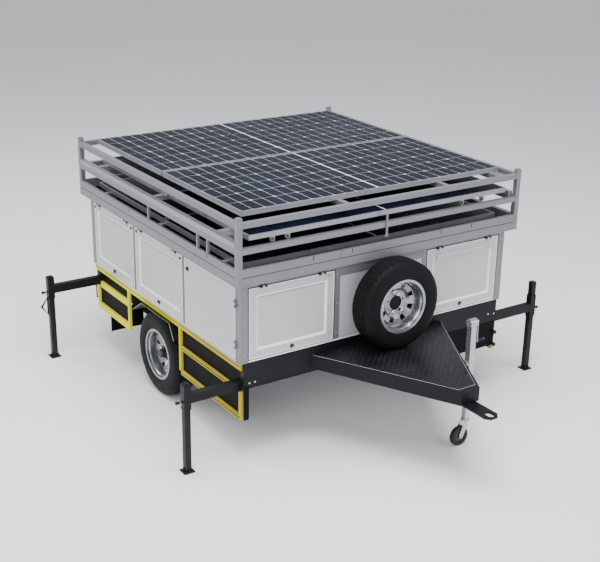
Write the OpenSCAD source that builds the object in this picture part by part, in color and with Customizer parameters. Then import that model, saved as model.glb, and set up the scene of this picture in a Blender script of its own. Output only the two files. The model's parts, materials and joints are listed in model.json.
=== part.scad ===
// Mobile solar-power trailer: white cabinet body on a black braked chassis, a fixed roof array,
// two slide-out array trays, four outrigger legs, an A-frame drawbar with a winding jockey wheel.
// The drawbar points to -Y, +X is the side away from the plain door and the ground is z = 0.
// Parts are drawn round the middle of the cabinet and then moved so the origin is at mid length.

/* [Body] */
// Width of the cabinet over its corner columns
body_w = 2380; // [2380:10:2860]
// Length of the cabinet
body_l = 2430; // [2430:10:2920]
// Height of the cabinet walls
body_h = 590; // [520:10:720]
// Height of the cabinet floor above the ground
floor_z = 745; // [745:5:900]
// Side of the square corner columns
column = 62; // [50:1:80]
// Width of the columns between doors on the front and back walls
mid_column = 46; // [30:1:60]
// Width of the strips between doors on the side walls
strip = 24; // [16:1:40]
// Height of the header rail above the doors
header_h = 44; // [30:1:60]
// Height of the sill rail below the doors
sill_h = 16; // [12:1:30]
// Thickness of doors and fixed wall panels
leaf_t = 25; // [18:1:32]
// Depth of the recess in a framed door
recess = 10; // [4:1:14]
// Width of the border round the recess
border = 58; // [40:1:80]
// Clear gap round each door
door_gap = 4; // [3:0.5:6]
// Width of the centre bay on the front and back walls
centre_bay = 744; // [650:2:800]

/* [Roof frame] */
// How far the roof stands out past the cabinet on each side
roof_over_x = 60; // [50:1:90]
// How far the roof stands out past the cabinet at each end
roof_over_y = 65; // [50:1:90]
// Side of the square aluminium roof tubes
tube = 38; // [30:1:45]
// Height of the lower skirt band
skirt_low = 60; // [50:1:80]
// Height of the upper skirt band
skirt_up = 57; // [50:1:80]
// Height of the middle rails above the skirt
mid_gap = 103; // [90:1:140]
// Clear height between the middle rails and the top rails
top_gap = 140; // [130:1:180]
// Where the cross rails under the fixed array run, measured across the trailer
cross_rails = [-350, 550, 1080];

/* [Solar modules] */
// Long side of a solar module
module_l = 2278; // [1980:2:2278]
// Short side of a solar module
module_w = 1134; // [990:2:1134]
// Depth of the module frame
module_t = 35; // [30:1:40]
// Face width of the module frame
module_rim = 12; // [9:1:20]
// Gap between two modules
module_gap = 20; // [10:1:30]

/* [Trays] */
// How far a tray slides out
tray_travel = 2150; // [1500:10:2150]
// Offset of the tray rails from the centre line
tray_rail_y = 950; // [800:10:1000]

/* [Wheels] */
// Outside diameter of the tyres
tyre_d = 670; // [600:2:670]
// Width of the tyres
tyre_w = 200; // [175:1:205]
// Diameter over the rim flanges
rim_d = 406; // [370:1:420]
// Distance between the centres of the two road wheels
track = 2200; // [2200:5:2700]
// Distance of the axle behind the middle of the cabinet
axle_back = 55; // [0:5:150]
// Diameter of the wheel bolt circle
bolt_circle = 139.7; // [100:0.1:170]

/* [Chassis] */
// Height of the front and rear crossmembers
cross_h = 175; // [150:1:220]
// Thickness of the crossmembers
cross_t = 45; // [40:1:60]
// Height of the side rails
side_rail_h = 55; // [50:1:55]
// Depth of the yellow side frames below the floor
side_frame_drop = 435; // [380:5:435]

/* [Drawbar] */
// Length of the drawbar in front of the crossmember
drawbar_l = 1020; // [900:10:1400]
// Width of the drawbar where it meets the crossmember
drawbar_w = 1200; // [1000:10:1400]
// Width of the drawbar at its nose
nose_w = 160; // [140:2:220]
// Height of the drawbar arms
arm_h = 100; // [80:1:120]
// Thickness of the drawbar arms
arm_t = 50; // [40:1:60]
// Height of the drawbar's underside above the ground
drawbar_z = 575; // [570:5:640]
// Length of the slot in the tow eye
eye_l = 76; // [60:1:90]
// Width of the slot in the tow eye
eye_w = 50; // [40:1:56]
// Width of the plate that carries the tow eye
plate_w = 116; // [110:2:140]

/* [Outriggers] */
// Height of an outrigger beam
beam_h = 68; // [60:1:72]
// Width of an outrigger beam
beam_w = 50; // [40:1:60]
// Length of an outrigger beam
beam_l = 950; // [800:10:1000]
// Height of the front beams' underside above the ground
beam_z = 528; // [500:1:535]
// How far the legs stand out from the cabinet: front left, front right, rear left, rear right
leg_out = [385, 440, 425, 415];
// How far each leg tube stands above its sleeve
leg_above = [6, 112, 6, 6];
// Side of the leg tube
leg_w = 44; // [38:1:50]
// Height of the leg sleeve
sleeve_h = 185; // [170:5:280]
// Wall of the beams, legs, sleeves and receivers
tube_wall = 4; // [3:0.5:5]
// Sliding clearance on each side of a beam or leg
slide_clear = 0.8; // [0.5:0.1:2]

/* [Jockey wheel] */
// Side of the jack's outer tube
jack_w = 48; // [44:1:60]
// Distance of the jack behind the drawbar nose
jack_back = 385; // [300:5:450]
// Gap between the drawbar arm and the jack
jack_out = 28; // [14:1:40]
// Diameter of the caster wheel
caster_d = 150; // [110:1:160]
// Trail of the caster wheel
caster_trail = 52; // [45:1:70]

/* [Hidden] */
$fn = 48;
weld = 0.2;          // hairline between members that are welded or screwed together
fit = 0.3;           // running clearance between pieces on different bodies
run = 0.08;          // radial clearance of a pin or shaft that turns in its hole
gap = 2;             // clear gap between a sliding tray and what it passes

// Cabinet
bx = body_w / 2;
by = body_l / 2;
panel_back = 3;                          // fixed panels stand this far behind the wall face
body_top = floor_z + body_h;
bay_y = body_l / 6;                      // strips stand at one sixth of the length from the middle
door_z0 = floor_z + sill_h + door_gap;
door_z1 = body_top - header_h - door_gap;
mid_x = centre_bay / 2 + mid_column / 2; // centre line of the front and back columns
// Roof
rx = bx + roof_over_x;
ry = by + roof_over_y;
skirt_z = body_top + skirt_low;          // top of the lower band
deck_z = skirt_z + 5;                    // underside of the upper band and of the lower tray
band_top = deck_z + skirt_up;
mid_z = band_top + mid_gap;              // underside of the middle rails
mid_top = mid_z + tube + 2;
top_z = mid_top + top_gap;               // underside of the top rails
rail_top = top_z + tube;
post_top = rail_top + module_t + 2;
array_w = 2 * module_w + module_gap;
glass_t = 5;
// Chassis
cx = bx - 25;                            // outer face of the chassis rails
rail_z = floor_z - side_rail_h;
cross_z = floor_z - cross_h;
frame_z = floor_z - side_frame_drop;     // bottom of the side frames
main_x = track / 2 - tyre_w / 2 - 150;   // centre line of the main rails, over the springs
main_h = 100;
strip_out = cx + 2 * weld + 16;          // outer face of the yellow frames
bar = 28;                                // width of the side frame bars
// Wheels
axle_z = tyre_d / 2;
hub_x = track / 2;
wheel_front = axle_back - tyre_d / 2 - 12; // back end of the front side frames, clear of the tyre
guard_out = -hub_x - tyre_w / 2 - 6;     // outer and inner edge of the left mudguard
guard_in = -hub_x + tyre_w / 2 + 18;
disc_t = 7.5;                            // thickness of the rim disc
stud_r = 6.5;
spindle_r = 19;
flange = rim_d / 2;
bead = flange - 11;
// Outriggers
recv_w = beam_w + 2 * slide_clear + 2 * tube_wall;
recv_h = beam_h + 2 * slide_clear + 2 * tube_wall;
beam_y = by - cross_t - weld - recv_w / 2;
rear_beam_z = floor_z - main_h - weld - recv_h + tube_wall + slide_clear; // right under the main rails
beam_mid_z = [beam_z + beam_h / 2, rear_beam_z + beam_h / 2];               // front and rear
sleeve_low = 80;                         // how far a sleeve hangs below the middle of its beam
sleeve_w = leg_w + 2 * slide_clear + 2 * tube_wall;
foot_t = 8;
foot_w = 84;
// Drawbar
nose_y = -by - drawbar_l;
arm_top = drawbar_z + arm_h;
eye_t = 12;
eye_y = nose_y - 195;
arm_slope = (drawbar_w - nose_w) / 2 / drawbar_l;
arm_x = arm_t * norm([1, arm_slope]);    // thickness of an arm measured across the trailer
eye_r = 62;
deck_t = 4;
// Spare wheel: just above the drawbar deck and just in front of the roof overhang
spare_y = ry + 5 + tyre_w / 2;
spare_z = arm_top + deck_t + 2 + tyre_d / 2;
// Step loop behind the rear side frames
loop_r = 6;
loop_reach = 62;
// Middle of the whole length, which is where the origin goes
mid_y = (eye_y - eye_r + 12 + by + loop_reach + loop_r) / 2;
// Jack
jack_y = nose_y + jack_back;
jack_x = nose_w / 2 + arm_slope * jack_back + jack_out + jack_w / 2;
jack_head_z = arm_top + 245;
crank_z = jack_head_z + 36;
jack_foot_z = drawbar_z - 155;
inner_w = jack_w - 2 * tube_wall - 1.2;
fork_top = caster_d + 50;

module block(lo, hi) { translate(lo) cube([hi[0] - lo[0], hi[1] - lo[1], hi[2] - lo[2]]); }
module both_sides() { children(); mirror([1, 0, 0]) children(); }
module both_ends() { children(); mirror([0, 1, 0]) children(); }
module rod_x(r, x0, x1) { translate([x0, 0, 0]) rotate([0, 90, 0]) cylinder(r = r, h = x1 - x0); }
module rod_y(r, y0, y1) { translate([0, y0, 0]) rotate([-90, 0, 0]) cylinder(r = r, h = y1 - y0); }
// An open rectangular tube along Z, centred on its axis
module square_tube(w, h, wall) {
    difference() {
        translate([-w / 2, -w / 2, 0]) cube([w, w, h]);
        translate([wall - w / 2, wall - w / 2, -1]) cube([w - 2 * wall, w - 2 * wall, h + 2]);
    }
}

// ---- Chassis -------------------------------------------------------------------------------
module chassis_frame() color("#202224") {
    both_ends() block([-cx, -by, cross_z], [cx, -by + cross_t, floor_z - weld]);
    both_sides() {
        block([cx - 50, -by + cross_t + weld, rail_z], [cx, by - cross_t - weld, floor_z - weld]);
        block([main_x - 25, -by + cross_t + weld, floor_z - main_h],
              [main_x + 25, by - cross_t - weld, floor_z - weld]);
        for (y = [-700, -150, 400, 850]) // outriggers of the floor between main and side rails
            block([main_x + 25 + weld, y, rail_z], [cx - 50 - weld, y + 40, floor_z - weld]);
    }
    for (y = [-700, -150, 400, 850])
        block([25 - main_x + weld, y, rail_z], [main_x - 25 - weld, y + 40, floor_z - weld]);
    for (e = [0, 1]) translate([0, (2 * e - 1) * beam_y, beam_mid_z[e]]) difference() {
        block([-cx, -recv_w / 2, -recv_h / 2], [cx, recv_w / 2, recv_h / 2]); // through receiver of two beams
        block([-cx - 1, tube_wall - recv_w / 2, tube_wall - recv_h / 2],
              [cx + 1, recv_w / 2 - tube_wall, recv_h / 2 - tube_wall]);
    }
    both_sides() grab_loop();
}

// Rod step loop behind the rear side frame, on a plate that hangs from the crossmember
module grab_loop() {
    z0 = frame_z + 90;
    z1 = z0 + 150;
    y0 = by - cross_t + 6;
    block([-cx + 4, by - cross_t + weld, z0 - 12], [-cx + 34, y0, cross_z - weld]);
    translate([-cx + 16, 0, 0]) {
        for (z = [z0, z1]) translate([0, 0, z]) rod_y(loop_r, y0 + weld, by + loop_reach - loop_r - weld);
        translate([0, by + loop_reach, z0 - loop_r]) cylinder(r = loop_r, h = z1 - z0 + 2 * loop_r);
    }
}

// Black backing sheets, front end plates and mud flaps
module side_sheets() color("#17181a") {
    both_sides() {
        difference() {
            block([-cx + 4, -by + cross_t + weld, frame_z + 10], [-cx + 8, wheel_front - 4, rail_z - weld]);
            beam_window(0);
        }
        difference() {
            block([-cx + 4, by - 640, frame_z + 45], [-cx + 8, by - cross_t - weld, rail_z - weld]);
            beam_window(1);
        }
        // inner wall of the wheel well, carried on to the rear receiver
        block([guard_in + weld, wheel_front, axle_z + 80],
              [guard_in + weld + 4, beam_y - recv_w / 2 - gap, rail_z - weld]);
        block([-cx + 8 + weld, by - 230, frame_z - 130], [-cx + 310, by - 226, frame_z + 60]);
        block([-cx + 8 + weld, by - 226 + weld, frame_z + 50], [-cx + 310, by - 200, frame_z + 62]);
    }
    block([-cx, -by + 1, frame_z], [-cx + 42, -by + 4, cross_z - weld]);
    x0 = drawbar_w / 2 + 2; // the right front plate starts beside the drawbar
    block([x0, -by + 1, frame_z + 45], [cx, -by + 4, cross_z - weld]);
    block([x0, -by + 4 + weld, frame_z + 45], [x0 + 4, -by + 40, cross_z - weld]);
}
module beam_window(e) translate([-cx, (2 * e - 1) * beam_y, beam_mid_z[e]])
    block([-60, -recv_w / 2 - gap, -recv_h / 2 - gap], [60, recv_w / 2 + gap, recv_h / 2 + gap]);

// Yellow side strips and ladder frames
module side_frames() color("#d8c83a") both_sides() {
    x0 = -strip_out;
    x1 = -cx - weld;
    xs = -cx + 4 - weld;
    block([x0, -by + 18, rail_z], [x1, by - 12, floor_z - 2]);
    // front ladder
    f0 = -by + 20;
    f1 = wheel_front;
    fz = frame_z;
    block([x0, f1 - bar, fz + 30], [xs, f1, rail_z - weld]);
    block([x0, f0, fz], [xs, f1 - bar - weld, fz + bar + 4]);
    block([x0, -beam_y + recv_w / 2 + gap, fz + 205], [xs, f1 - bar - weld, fz + 205 + bar]);
    block([x0, f0, fz + bar + 4 + weld], [xs, f0 + bar - 4, beam_mid_z[0] - recv_h / 2 - gap]);
    // rear ladder
    r0 = by - 655;
    r1 = by - 35;
    block([x0, r0, fz + 35], [xs, r0 + bar, rail_z - weld]);
    block([x0, r0 + bar + weld, fz + 35], [xs, r1, fz + 88]);
    block([x0, r0 + bar + weld, fz + 240], [xs, beam_y - recv_w / 2 - gap, fz + 292]);
    block([x0, r1 - bar, fz + 88 + weld], [xs, r1, beam_mid_z[1] - recv_h / 2 - gap]);
}

// Folded steel guards over the wheels
module mudguards() color("#1c1d20") both_sides() {
    y0 = axle_back;
    t = 3;
    z1 = rail_z - weld;
    half = 235;
    translate([guard_out, 0, 0]) rotate([90, 0, 90]) linear_extrude(guard_in - guard_out) polygon([
        [y0 - half, z1], [y0 + half, z1], [y0 + half + 190, z1 - 125], [y0 + half + 186, z1 - 128],
        [y0 + half - 1, z1 - t], [y0 - half + 1, z1 - t], [y0 - half - 66, z1 - 128],
        [y0 - half - 70, z1 - 125]]);
}

module tail_lights() color("#a01818") both_sides() {
    y = by + weld;
    block([-cx + 40, y, cross_z + 60], [-cx + 190, y + 22, cross_z + 130]);
    block([-cx + 200, y, cross_z + 60], [-cx + 260, y + 22, cross_z + 130]);
}

// ---- Drawbar -------------------------------------------------------------------------------
module drawbar_frame() color("#222427") {
    both_sides() translate([0, 0, drawbar_z]) linear_extrude(arm_h) polygon([
        [-drawbar_w / 2, -by - weld], [-nose_w / 2, nose_y], [-nose_w / 2 + arm_x, nose_y],
        [-drawbar_w / 2 + arm_x, -by - weld]]);
    drawbar_tie(0, 60, drawbar_z, arm_top);
    drawbar_tie(420, 460, drawbar_z + 20, arm_top - 20);
}
// Plate or box between the two arms, from d0 to d1 behind the nose
module drawbar_tie(d0, d1, z0, z1) translate([0, 0, z0]) linear_extrude(z1 - z0) polygon([
    [-between_arms(d0), nose_y + d0], [between_arms(d0), nose_y + d0],
    [between_arms(d1), nose_y + d1], [-between_arms(d1), nose_y + d1]]);
function between_arms(d) = nose_w / 2 + arm_slope * d - arm_x - weld;
module drawbar_deck() color("#2c2e31") translate([0, 0, arm_top + weld]) linear_extrude(deck_t) polygon([
    [-drawbar_w / 2 + 6, -by - 2], [drawbar_w / 2 - 6, -by - 2],
    [nose_w / 2 - 4, nose_y + 40], [-nose_w / 2 + 4, nose_y + 40]]);
module tow_eye() color("#1b1c1e") translate([0, 0, drawbar_z - eye_t - weld]) difference() {
    w = plate_w / 2;
    linear_extrude(eye_t) polygon([[-w, nose_y + 150], [w, nose_y + 150], [w, eye_y - 16],
        [w - 30, eye_y - eye_r + 12], [30 - w, eye_y - eye_r + 12], [-w, eye_y - 16]]);
    for (s = [-1, 1]) translate([0, eye_y + s * (eye_l - eye_w) / 2, -1]) cylinder(d = eye_w, h = eye_t + 2);
    block([-eye_w / 2, eye_y - (eye_l - eye_w) / 2, -1], [eye_w / 2, eye_y + (eye_l - eye_w) / 2, eye_t + 1]);
}

// ---- Axle and wheels -----------------------------------------------------------------------
module suspension() color("#26282b") {
    a = 60;
    pad = 12;
    leaf_z = axle_z + a / 2 + pad;
    span = 760;
    rise = 68;
    leaf = 10;
    translate([0, axle_back, axle_z]) {
        block([-hub_x + 130, -a / 2, -a / 2], [hub_x - 130, a / 2, a / 2]);
        both_sides() rod_x(spindle_r, -hub_x - 40, -hub_x + 130 - weld);
    }
    both_sides() translate([-main_x, axle_back, 0]) {
        block([-32, -50, leaf_z - pad], [32, 50, leaf_z - weld]);
        for (i = [0:2]) {
            half = span / 2 - i * 110;
            translate([-28, 0, leaf_z + (2 - i) * (leaf + weld)]) rotate([90, 0, 90])
                linear_extrude(56) polygon(leaf_outline(half, rise, span / 2, leaf));
        }
        for (s = [-1, 1]) block([-30, s * span / 2 - 20, leaf_z + rise + 3 * (leaf + weld)],
                                [30, s * span / 2 + 20, floor_z - main_h - weld]);
    }
}
// Outline of a leaf that rises as the square of the distance from the middle
function leaf_rise(y, rise, half) = rise * pow(y / half, 2);
function leaf_outline(half, rise, full, t) = concat(
    [for (i = [-8:8]) [half * i / 8, leaf_rise(half * i / 8, rise, full)]],
    [for (i = [8:-1:-8]) [half * i / 8, leaf_rise(half * i / 8, rise, full) + t]]);

// Everything round on a wheel is turned about X, outer side towards -X
module turn_x() rotate([0, -90, 0]) rotate_extrude($fn = 96) children();
module wheel_hub() color("#3a3c3f") {
    face = -disc_t - fit;
    bore = spindle_r + run;
    turn_x() polygon([[bore, -90], [60, -90], [60, face - 12], [88, face - 10], [88, face], [52, face],
        [50, 30], [bore, 30]]);
    at_studs() rod_x(stud_r, -20, 12);
    at_studs() rotate([0, -90, 0]) wheel_nut();
    turn_x() polygon([[0, 42], [24, 42], [24, 30 + weld], [36, 30 + weld], [36, 60], [28, 74], [0, 74]]);
}
module at_studs() for (i = [0:4]) rotate([i * 72, 0, 0]) translate([0, 0, bolt_circle / 2]) children();
module wheel_nut() difference() {
    translate([0, 0, fit]) cylinder(r = 12, h = 15, $fn = 6);
    cylinder(r = stud_r + 0.1, h = 16);
}
module wheel_rim() color("#b9bcc0") {
    drop = flange - 19;
    well = flange - 27;
    difference() {
        turn_x() polygon([[54, -disc_t], [96, -disc_t], [120, 10], [150, 18], [well - 12, 2], [well, 2],
            [well, -66], [bead - 8, -76], [bead - 8, -93], [flange, -93], [flange, -87], [bead, -85],
            [bead, -75], [drop, -64], [drop, 64], [bead, 75], [bead, 85], [flange, 87], [flange, 93],
            [bead - 8, 93], [bead - 8, 76], [well, 66], [well, 10], [well - 10, 10], [152, 26],
            [116, 18], [94, 0], [54, 0]]);
        at_studs() rod_x(stud_r + 0.5, -30, 30);
        for (i = [0:7]) rotate([i * 45 + 20, 0, 0]) rotate([0, -90, 0]) translate([0, 0, -40])
            linear_extrude(80) polygon([[108, -15], [108, 15], [well - 30, 23], [well - 30, -23]]);
    }
}
// Hollow tyre seated between the rim flanges: one half of its section, then the mirror image of it
module wheel_tyre() color("#1a1a1b") {
    r = tyre_d / 2;
    w = tyre_w / 2;
    f = flange + fit;
    half = [[r, 0], [r - 3, w - 34], [r - 14, w - 16], [r - 46, w - 1], [f + 42, w], [f + 8, 94], [f, 92],
        [f, 86.4], [bead + fit, 84.4], [bead + fit, 76], [f + 2, 74], [f + 38, w - 12], [r - 46, w - 13],
        [r - 22, w - 30], [r - 15, w - 48], [r - 15, 0]];
    turn_x() polygon(concat(half, [for (i = [len(half) - 2:-1:1]) [half[i][0], -half[i][1]]]));
}
// A wheel stands at its own place on the left, and the right one is its mirror image
module at_wheel(side) {
    if (side < 0) translate([-hub_x, axle_back, axle_z]) children();
    else mirror([1, 0, 0]) translate([-hub_x, axle_back, axle_z]) children();
}
module at_spare() translate([0, -spare_y, spare_z]) rotate([0, 0, 90]) children();
// Wall plate, box post and holder with three studs that the spare rim bolts on
module spare_carrier() color("#2a2c2f") translate([0, 0, spare_z]) {
    y_plate = -by - 10;
    y_holder = -spare_y + disc_t + fit;
    block([-95, y_plate, -95], [95, -by + panel_back - weld, 95]);
    block([-30, y_holder + 10 + weld, -30], [30, y_plate - weld, 30]);
    block([-86, y_holder, -86], [86, y_holder + 10, 86]);
    for (i = [0, 2, 3]) translate([bolt_circle / 2 * sin(72 * i), 0, bolt_circle / 2 * cos(72 * i)]) {
        rod_y(stud_r, -spare_y - 22, y_holder + 5);
        translate([0, -spare_y, 0]) rotate([90, 0, 0]) wheel_nut();
    }
}

// ---- Cabinet -------------------------------------------------------------------------------
module body_frame() color("#a9adb2") {
    for (x = [-1, 1], y = [-1, 1]) translate([x * (bx - column / 2), y * (by - column / 2), floor_z])
        translate([-column / 2, -column / 2, 0]) cube([column, column, body_h]);
    ends = by - column - weld;
    sides = bx - column - weld;
    for (z = [[floor_z, sill_h], [body_top - header_h, header_h]]) {
        both_sides() block([-bx, -ends, z[0]], [-bx + 40, ends, z[0] + z[1]]);
        both_ends() block([-sides, -by, z[0]], [sides, -by + 40, z[0] + z[1]]);
    }
    z0 = floor_z + sill_h + weld;
    z1 = body_top - header_h - weld;
    both_sides() for (y = [-bay_y, bay_y]) block([-bx, y - strip / 2, z0], [-bx + 40, y + strip / 2, z1]);
    both_ends() for (x = [-mid_x, mid_x])
        block([x - mid_column / 2, -by, z0], [x + mid_column / 2, -by + 40, z1]);
    for (z = hinge_spots(door_z0, door_z1)) // upright hinges of the plain front door, painted like the frame
        translate([-bx - hinge_out, -by + column + door_gap / 2, z]) rotate([90, 90, 0]) hinge_fixed();
}
// Floor and the wall panels that do not open
module body_shell() color("#e9eaec") {
    inset = 40 + weld;
    corner = column + weld;
    difference() {
        block([-bx + inset, -by + inset, floor_z], [bx - inset, by - inset, floor_z + 12]);
        both_sides() both_ends() block([bx - corner, by - corner, floor_z - 1], [bx, by, floor_z + 13]);
    }
    z0 = floor_z + sill_h + weld;
    z1 = body_top - header_h - weld;
    front_x0 = mid_x + mid_column / 2 + weld;
    front_x1 = bx - column - weld;
    block([-centre_bay / 2 + weld, panel_back - by, z0], [centre_bay / 2 - weld, panel_back + leaf_t - by, z1]);
    both_sides() recessed([-front_x1, by - panel_back - leaf_t, z0], [-front_x0, by - panel_back, z1], "+y");
    block([bx - panel_back - leaf_t, -by + column + weld, z0], [bx - panel_back, -bay_y - strip / 2 - weld, z1]);
}
// A white leaf with a sunk field; face names the side that the field is cut from
module recessed(lo, hi, face) {
    b = border;
    c = 1;
    difference() {
        block(lo, hi);
        if (face == "-y") block([lo[0] + b, lo[1] - c, lo[2] + b], [hi[0] - b, lo[1] + recess, hi[2] - b]);
        if (face == "+y") block([lo[0] + b, hi[1] - recess, lo[2] + b], [hi[0] - b, hi[1] + c, hi[2] - b]);
        if (face == "-x") block([lo[0] - c, lo[1] + b, lo[2] + b], [lo[0] + recess, hi[1] - b, hi[2] - b]);
    }
}

// Top hinges: a pin just outside the wall carries two fixed knuckles and one on the door
hinge_out = 9;       // distance of the pin axis from the wall face
hinge_z = door_z1 + door_gap / 2;
pin_r = 4;
knuckle_r = 8;
knuckle_l = 18;
// Fixed half of a hinge whose pin runs along X at the front wall
module hinge_fixed() {
    rod_x(pin_r, -knuckle_l * 1.5 - 2, knuckle_l * 1.5 + 2);
    for (s = [-1, 1]) translate([s * (knuckle_l + 1), 0, 0]) difference() {
        rod_x(knuckle_r, -knuckle_l / 2, knuckle_l / 2);
        rod_x(pin_r - 0.01, -knuckle_l, knuckle_l);
    }
    for (s = [-1, 1]) block([s * (knuckle_l + 1) - knuckle_l / 2, hinge_out - 3, 5],
                            [s * (knuckle_l + 1) + knuckle_l / 2, hinge_out - weld, 30]);
}
// Half of the hinge that turns with the door
module hinge_moving() {
    difference() {
        union() {
            rod_x(knuckle_r, -knuckle_l / 2, knuckle_l / 2);
            block([-knuckle_l / 2, 2, -34], [knuckle_l / 2, hinge_out + 0.5, -5]);
        }
        rod_x(pin_r + run, -knuckle_l, knuckle_l);
    }
}
front_door = [mid_x + mid_column / 2 + door_gap, bx - column - door_gap];
side_bays = [[bay_y + strip / 2 + door_gap, by - column - door_gap],
             [-bay_y + strip / 2 + door_gap, bay_y - strip / 2 - door_gap],
             [-by + column + door_gap, -bay_y - strip / 2 - door_gap]];
inset_hinge = 110;
function hinge_spots(a, b) = [a + inset_hinge, b - inset_hinge];
module door_hinges() color("#2b2c2e") {
    for (x = hinge_spots(front_door[0], front_door[1])) both_sides()
        translate([x, -by - hinge_out, hinge_z]) hinge_fixed();
    for (x = hinge_spots(-centre_bay / 2 + door_gap, centre_bay / 2 - door_gap))
        translate([x, by + hinge_out, hinge_z]) rotate([0, 0, 180]) hinge_fixed();
    both_sides() for (i = [0, 1], y = hinge_spots(side_bays[i][0], side_bays[i][1]))
        translate([-bx - hinge_out, y, hinge_z]) rotate([0, 0, -90]) hinge_fixed();
}
module side_door(i) color("#eceded") {
    recessed([-bx, side_bays[i][0], door_z0], [-bx + leaf_t, side_bays[i][1], door_z1], "-x");
    for (y = hinge_spots(side_bays[i][0], side_bays[i][1]))
        translate([-bx - hinge_out, y, hinge_z]) rotate([0, 0, -90]) hinge_moving();
}
module door_left_rear() side_door(0);
module door_left_mid() side_door(1);
module door_right_rear() mirror([1, 0, 0]) side_door(0);
module door_right_mid() mirror([1, 0, 0]) side_door(1);
module door_left_front() color("#eceded") {
    block([-bx, side_bays[2][0], door_z0], [-bx + leaf_t, side_bays[2][1], door_z1]);
    for (z = hinge_spots(door_z0, door_z1))
        translate([-bx - hinge_out, -by + column + door_gap / 2, z])
            rotate([90, 90, 0]) hinge_moving();
}
module front_flap() color("#eceded") {
    recessed([front_door[0], -by, door_z0], [front_door[1], -by + leaf_t, door_z1], "-y");
    for (x = hinge_spots(front_door[0], front_door[1]))
        translate([x, -by - hinge_out, hinge_z]) hinge_moving();
}
module flap_front_left() mirror([1, 0, 0]) front_flap();
module flap_front_right() {
    front_flap();
    color("#b4b7bb") translate([0, -by - 20, door_z1 - 72]) { // bar handle on two stand-offs
        rod_x(9, front_door[0] + 70, front_door[1] - 60);
        for (x = [front_door[0] + 100, front_door[1] - 90]) translate([x, 0, 0])
            rod_y(6, 6, 20 + recess - weld);
    }
}
module rear_door() color("#eceded") {
    x = centre_bay / 2 - door_gap;
    recessed([-x, by - leaf_t, door_z0], [x, by, door_z1], "+y");
    for (s = hinge_spots(-x, x))
        translate([s, by + hinge_out, hinge_z]) rotate([0, 0, 180]) hinge_moving();
}
// Quarter-turn latch on a front-facing wall: a round escutcheon with a three-sided grip
module latch() color("#1c1c1e") {
    rod_y(15, -5, -fit);
    translate([0, -5, 0]) rotate([90, 0, 0]) linear_extrude(9) polygon([[-15, -9], [15, -9], [5, 13], [-5, 13]]);
}
latch_z = door_z0 + 28;
side_mid = [for (b = side_bays) (b[0] + b[1]) / 2];
module latch_side(y, z) translate([-bx, y, z]) rotate([0, 0, -90]) latch();
module latch_left_rear() latch_side(side_mid[0], latch_z);
module latch_left_mid() latch_side(side_mid[1], latch_z);
module latch_left_front() latch_side(side_bays[2][1] - 50, door_z1 - 75);
module latch_right_rear() mirror([1, 0, 0]) latch_side(side_mid[0], latch_z);
module latch_right_mid() mirror([1, 0, 0]) latch_side(side_mid[1], latch_z);
front_mid = (front_door[0] + front_door[1]) / 2;
module latch_front_left() translate([-front_mid, -by, latch_z]) latch();
module latch_front_right() translate([front_mid, -by, latch_z]) latch();
module latch_rear() translate([0, by, latch_z]) rotate([0, 0, 180]) latch();

// Stored energy and conversion inside the cabinet
module battery_bank() color("#3b4a63") for (i = [0:3], j = [0:1])
    translate([-bx + 260 + i * 190, 120 + j * 350, floor_z + 12 + weld]) cube([170, 330, 220]);
module inverter() color("#c9ccd0") {
    block([420, 300, floor_z + 12 + weld], [860, 560, floor_z + 420]);
    block([400, 290, floor_z + 420 + weld], [880, 570, floor_z + 432]);
}

// ---- Roof ----------------------------------------------------------------------------------
module roof_skirt() color("#9fa2a6") {
    t = 40;
    both_sides() block([-rx, -ry + t + weld, body_top], [-rx + t, ry - t - weld, skirt_z]);
    both_ends() block([-rx, -ry, body_top], [rx, -ry + t, skirt_z]);
    block([-rx + t + weld, -ry + t + weld, body_top + weld], [rx - t - weld, ry - t - weld, body_top + 25]);
    for (y = [-tray_rail_y, tray_rail_y])
        block([-rx + t + weld, y - 20, body_top + 25 + weld], [rx - t - weld, y + 20, deck_z]);
    // upper band on the front, the back and the left side
    both_ends() block([-rx + tube + weld, -ry, deck_z], [rx - tube - weld, -ry + 26, band_top]);
    block([-rx, -ry + tube + weld, deck_z], [-rx + 20, ry - tube - weld, band_top]);
    both_ends() block([-rx + tube + weld, -ry + 6, skirt_z + weld], [rx - tube - weld, -ry + 24, deck_z - weld]);
    block([-rx + 6, -ry + tube + weld, skirt_z + weld], [-rx + 18, ry - tube - weld, deck_z - weld]);
}
module roof_frame() color("#c3c6ca") {
    for (x = [-1, 1], y = [-1, 1]) translate([x * (rx - tube / 2), y * (ry - tube / 2), skirt_z + weld]) {
        h = post_top - skirt_z - weld;
        translate([-tube / 2, -tube / 2, 0]) cube([tube, tube, h - 3]);
        translate([0, 0, h - 3]) cylinder(r = tube / 2 - 3, h = 4);
    }
    ex = rx - tube - weld;
    ey = ry - tube - weld;
    for (z = [mid_z, top_z]) {
        both_ends() block([-ex, -ry, z], [ex, -ry + tube, z + (z == mid_z ? mid_top - mid_z : tube)]);
        both_sides() block([-rx, -ey, z], [-rx + tube, ey, z + (z == mid_z ? mid_top - mid_z : tube)]);
    }
    for (x = cross_rails) {
        w = x == max(cross_rails) ? 80 : tube;
        block([x - w / 2, -ey, top_z], [x + w / 2, ey, rail_top]);
    }
    inner = rx - tube - weld;
    for (y = [-tray_rail_y, tray_rail_y]) block([-inner, y - 20, mid_z], [inner, y + 20, mid_top]);
    for (y = [0.02, -0.57, -0.68] * ry) // struts in the lower bay of the left side
        block([-rx, y - 9, band_top + weld], [-rx + 18, y + 9, mid_z - weld]);
    // drop bar that locks the left tray on the front rail
    block([-38, -ry - 9, mid_z - 55], [-22, -ry - weld, mid_top + 58]);
    block([-44, -ry - 9, mid_z - 66], [-16, -ry - weld, mid_z - 55 - weld]);
}
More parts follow.
